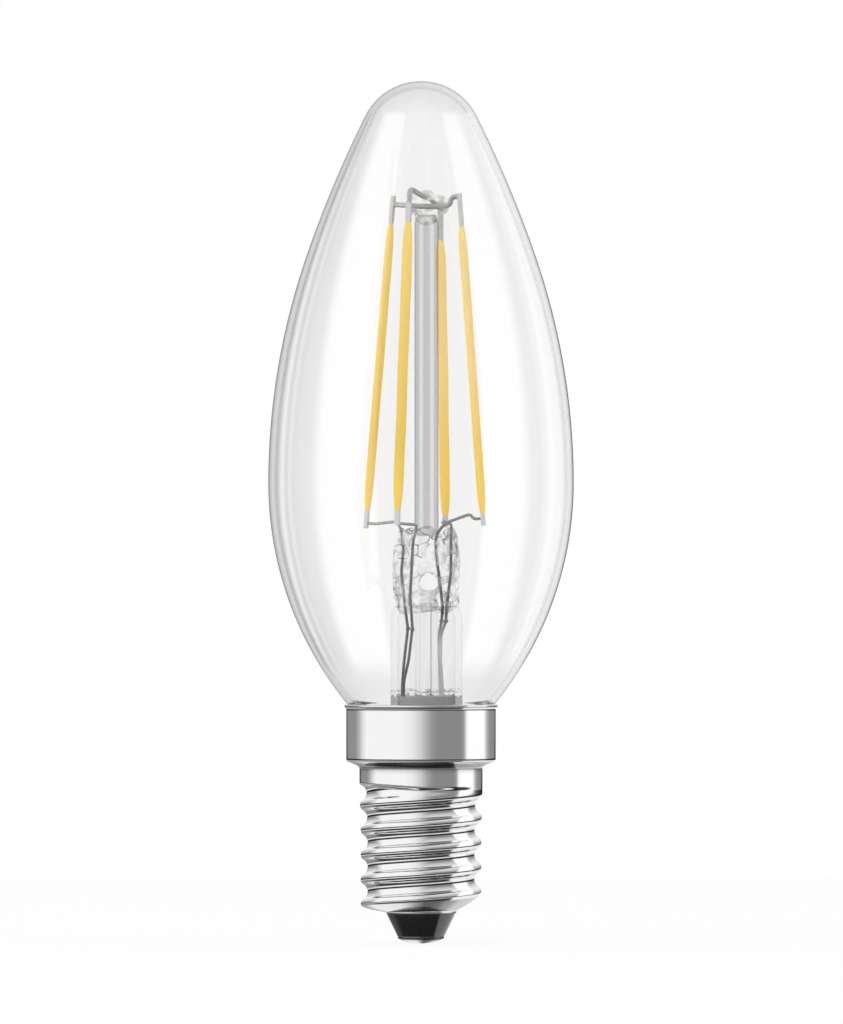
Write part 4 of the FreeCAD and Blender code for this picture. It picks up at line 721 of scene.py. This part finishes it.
settled = add_node(tree, "ShaderNodeTexNoise", {"Vector": streaks, "Scale": 1.0, "Detail": 3.0})
patchy = add_node(tree, "ShaderNodeMapRange", {
    0: settled.outputs[0], 1: 0.3, 2: 0.7, 3: 0.0, 4: 0.28}).outputs[0]
powder = add_node(tree, "ShaderNodeMix", {0: patchy, 6: yellow, 7: linear("#F2C75A")},
                  data_type="RGBA").outputs[2]
specks = add_node(tree, "ShaderNodeTexNoise", {"Vector": place, "Scale": 9000.0, "Detail": 2.0})
rough = add_node(tree, "ShaderNodeBump", {
    "Height": specks.outputs[0], "Strength": 0.15, "Distance": 0.03 * MM})
# Painted light: the coat also glows with its own yellow at strength 0.36, though the filaments are not lit,
# so that it reads brighter.
coat_shader = add_node(tree, "ShaderNodeBsdfPrincipled", {
    "Base Color": powder, "Roughness": 0.45, "IOR": 1.41, "Subsurface Weight": 0.35,
    "Subsurface Radius": (1.0, 0.7, 0.3), "Subsurface Scale": 0.4 * MM, "Normal": rough.outputs[0],
    "Emission Color": powder, "Emission Strength": 0.36})
add_node(tree, "ShaderNodeOutputMaterial", {"Surface": coat_shader.outputs[0]})
ceramic, tree = material_named("Fired_alumina_strip")
# Fired alumina is white and faintly grainy, with grains of a few hundredths of a millimetre.
place = add_node(tree, "ShaderNodeTexCoord").outputs["Object"]
grains = add_node(tree, "ShaderNodeTexNoise", {"Vector": place, "Scale": 20000.0}).outputs[0]
tone = add_node(tree, "ShaderNodeMix", {0: grains, 6: linear("#E9E9E6"), 7: linear("#F7F7F5")},
                data_type="RGBA").outputs[2]
strip_shader = add_node(tree, "ShaderNodeBsdfPrincipled", {"Base Color": tone, "Roughness": 0.5})
add_node(tree, "ShaderNodeOutputMaterial", {"Surface": strip_shader.outputs[0]})
for side, (foot, head) in FILAMENT_ENDS.items():
    foot, head = Vector(foot), Vector(head)
    axis = (head - foot).normalized()
    away = Vector(((foot.x + head.x) / 2 - STEM_SHIFT, (foot.y + head.y) / 2, 0))
    away = (away - axis * away.dot(axis)).normalized()
    turned_to = Matrix((away.cross(axis), away, axis)).transposed().to_4x4()
    bpy.ops.object.select_all(action="DESELECT")
    bpy.ops.mesh.primitive_cube_add(size=1, location=(0, 0, 0))
    strip = bpy.context.object
    strip.name = f"strip_{side}"
    strip_size = Matrix.Diagonal((STRIP_WIDTH, STRIP_DEPTH, COAT_LENGTH - 0.02, 1))
    strip.data.transform(Matrix.Translation((0, 0, COAT_LENGTH / 2)) @ strip_size)
    finished_with(strip, "BEVEL", width=0.05, segments=2)
    coat = coat_model.copy()
    coat.data = coat_model.data.copy()
    coat.name = f"coat_{side}"
    scene.collection.objects.link(coat)
    # Each coat swells and wanders by a few hundredths of a millimetre, in its own way.
    phase = NOISE_PLACE[side]
    short = (COAT_LENGTH - BARE_TOP[side]) / COAT_LENGTH
    for point in coat.data.vertices:
        swell = 1 + 0.05 * noise.noise(Vector((phase, 0, point.co.z / 4.0)))
        point.co.x *= swell
        point.co.y *= swell
        point.co.x += 0.05 * noise.noise(Vector((phase + 9, 0, point.co.z / 7.0)))
        point.co.z *= short
    for piece, material in ((strip, ceramic), (coat, phosphor)):
        to_place = Matrix.Diagonal((MM, MM, MM, 1)) @ Matrix.Translation(foot) @ turned_to
        piece.data.transform(to_place)
        piece.data.materials.append(material)
        for face in piece.data.polygons:
            face.use_smooth = piece is coat
        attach(piece, "root")
    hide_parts(f"filament_{side}")
bpy.data.objects.remove(coat_model)

# The wires of the mount: drawn nickel-iron lead wires with butt-welded knots, two thicker anchor wires
# through the bead, and stamped end strips. Drawing leaves faint lines.
ZONES_FROM, ZONES_TO = 20, 60


def surface(node_names, name, colours, grain, roughness, metallic=0.0, depth=0.004, zones=()):
    """Gives CAD pieces a finish: two tones mixed by a grain of its real size in mm, and its relief."""
    material, tree = material_named(name)
    place = add_node(tree, "ShaderNodeTexCoord").outputs["Object"]
    sized = add_node(tree, "ShaderNodeMapping", {"Vector": place, "Scale": [1 / (grain * MM)] * 3})
    grains = add_node(tree, "ShaderNodeTexNoise", {
        "Vector": sized.outputs[0], "Scale": 1.0, "Detail": 3.0}).outputs[0]
    tones = add_node(tree, "ShaderNodeMix", {0: grains, 6: linear(colours[0]), 7: linear(colours[1])},
                     data_type="RGBA").outputs[2]
    if zones:
        height = add_node(tree, "ShaderNodeSeparateXYZ", {0: place}).outputs["Z"]
        share = add_node(tree, "ShaderNodeMapRange", {
            0: height, 1: ZONES_FROM * MM, 2: ZONES_TO * MM}).outputs[0]
        zone = add_node(tree, "ShaderNodeValToRGB", {0: share}, stops=[
            ((z - ZONES_FROM) / (ZONES_TO - ZONES_FROM), grey) for z, grey in zones]).outputs[0]
        tones = add_node(tree, "ShaderNodeMix", {0: 1.0, 6: tones, 7: zone},
                         data_type="RGBA", blend_type="MULTIPLY").outputs[2]
    worn = add_node(tree, "ShaderNodeMapRange", {0: grains, 3: roughness * 0.8, 4: roughness * 1.2})
    relief = add_node(tree, "ShaderNodeBump", {"Height": grains, "Strength": 0.3, "Distance": depth * MM})
    shader = add_node(tree, "ShaderNodeBsdfPrincipled", {
        "Base Color": tones, "Roughness": worn.outputs[0], "Metallic": metallic,
        "Normal": relief.outputs[0]})
    add_node(tree, "ShaderNodeOutputMaterial", {"Surface": shader.outputs[0]})
    for node_name in node_names:
        nodes[node_name].data.materials.clear()
        nodes[node_name].data.materials.append(material)


# The leads on the left and in front are darker from the foot up to the top of the press, and bright above
# it.
# Painted highlight: on the right and at the back the leads are painted near white with little metal below
# 34 mm, so that they fade into the bright glass, and they are dark in the press.
surface(["lead_wire_left", "lead_wire_front"], "Drawn_nickel_iron_wire", ("#F3F2F0", "#D8D6D3"),
        0.25, 0.38, 0.85, zones=[(20, 0.38), (39, 0.42), (45.5, 0.5), (47, 0.85)])
surface(["lead_wire_right", "lead_wire_back"], "Nickel_iron_wire_painted_pale", ("#FCFCFB", "#F3F2F0"),
        0.25, 0.38, 0.2, zones=[(20, 1.0), (34.0, 1.0), (37.5, 0.18), (45.5, 0.22), (47, 0.4)])
surface(["anchor_wire_across", "anchor_wire_front_to_back"], "Drawn_nickel_wire",
        ("#F2F2F1", "#DFDFDE"), 0.3, 0.36, 0.7)
surface([f"{end}_tab_{side}" for end in ("head", "foot") for side in FILAMENT_ENDS],
        "Stamped_silvered_strip", ("#FBFBFB", "#F2F2F2"), 0.3, 0.4, 0.25)

# The potting: grey silicone poured into the foot of the flare tube, which holds the wires apart.
# It sets with a soft, slightly uneven top.
# Painted light: the silicone is given a near-white colour, paler than its own grey, to make up for the
# little light that reaches it inside the tube.
surface(["potting_plug"], "Poured_grey_silicone", ("#FFFFFF", "#F0F0F0"), 0.8, 0.35, depth=0.03)

# The driver in the cap: a glass-epoxy board in a sleeve of polyester film, with its moulded and wound
# parts, and the cement that holds the glass in the skirt. None of it shows from outside.
surface(["capping_cement"], "Baked_capping_cement", ("#D8D2C2", "#C3BBA8"), 0.4, 0.85, depth=0.05)
surface(["driver_sleeve"], "Clear_polyester_film", ("#D9DDDC", "#C9CFCE"), 1.5, 0.25)
surface(["driver_board"], "Woven_glass_epoxy_board", ("#3F7A4A", "#35683F"), 0.35, 0.5, depth=0.01)
surface(["bridge_rectifier"], "Moulded_black_epoxy", ("#1E1E1F", "#29292A"), 0.12, 0.55)
surface(["driver_chip"], "Moulded_chip_epoxy", ("#202122", "#2B2B2C"), 0.10, 0.5)
surface(["sense_resistor_left", "sense_resistor_right"], "Fired_chip_ceramic",
        ("#2A2B2D", "#3A3B3C"), 0.2, 0.4)
surface(["smoothing_capacitor"], "Sleeved_aluminium_can", ("#23262B", "#2D3036"), 1.2, 0.3)
surface(["fusible_resistor"], "Flameproof_coating", ("#9FB0B8", "#8C9DA6"), 0.3, 0.6, depth=0.02)
surface(["centre_wire", "shell_wire"], "Tinned_copper_wire", ("#C9C8C4", "#B5B4B0"), 0.2, 0.3, 1.0)
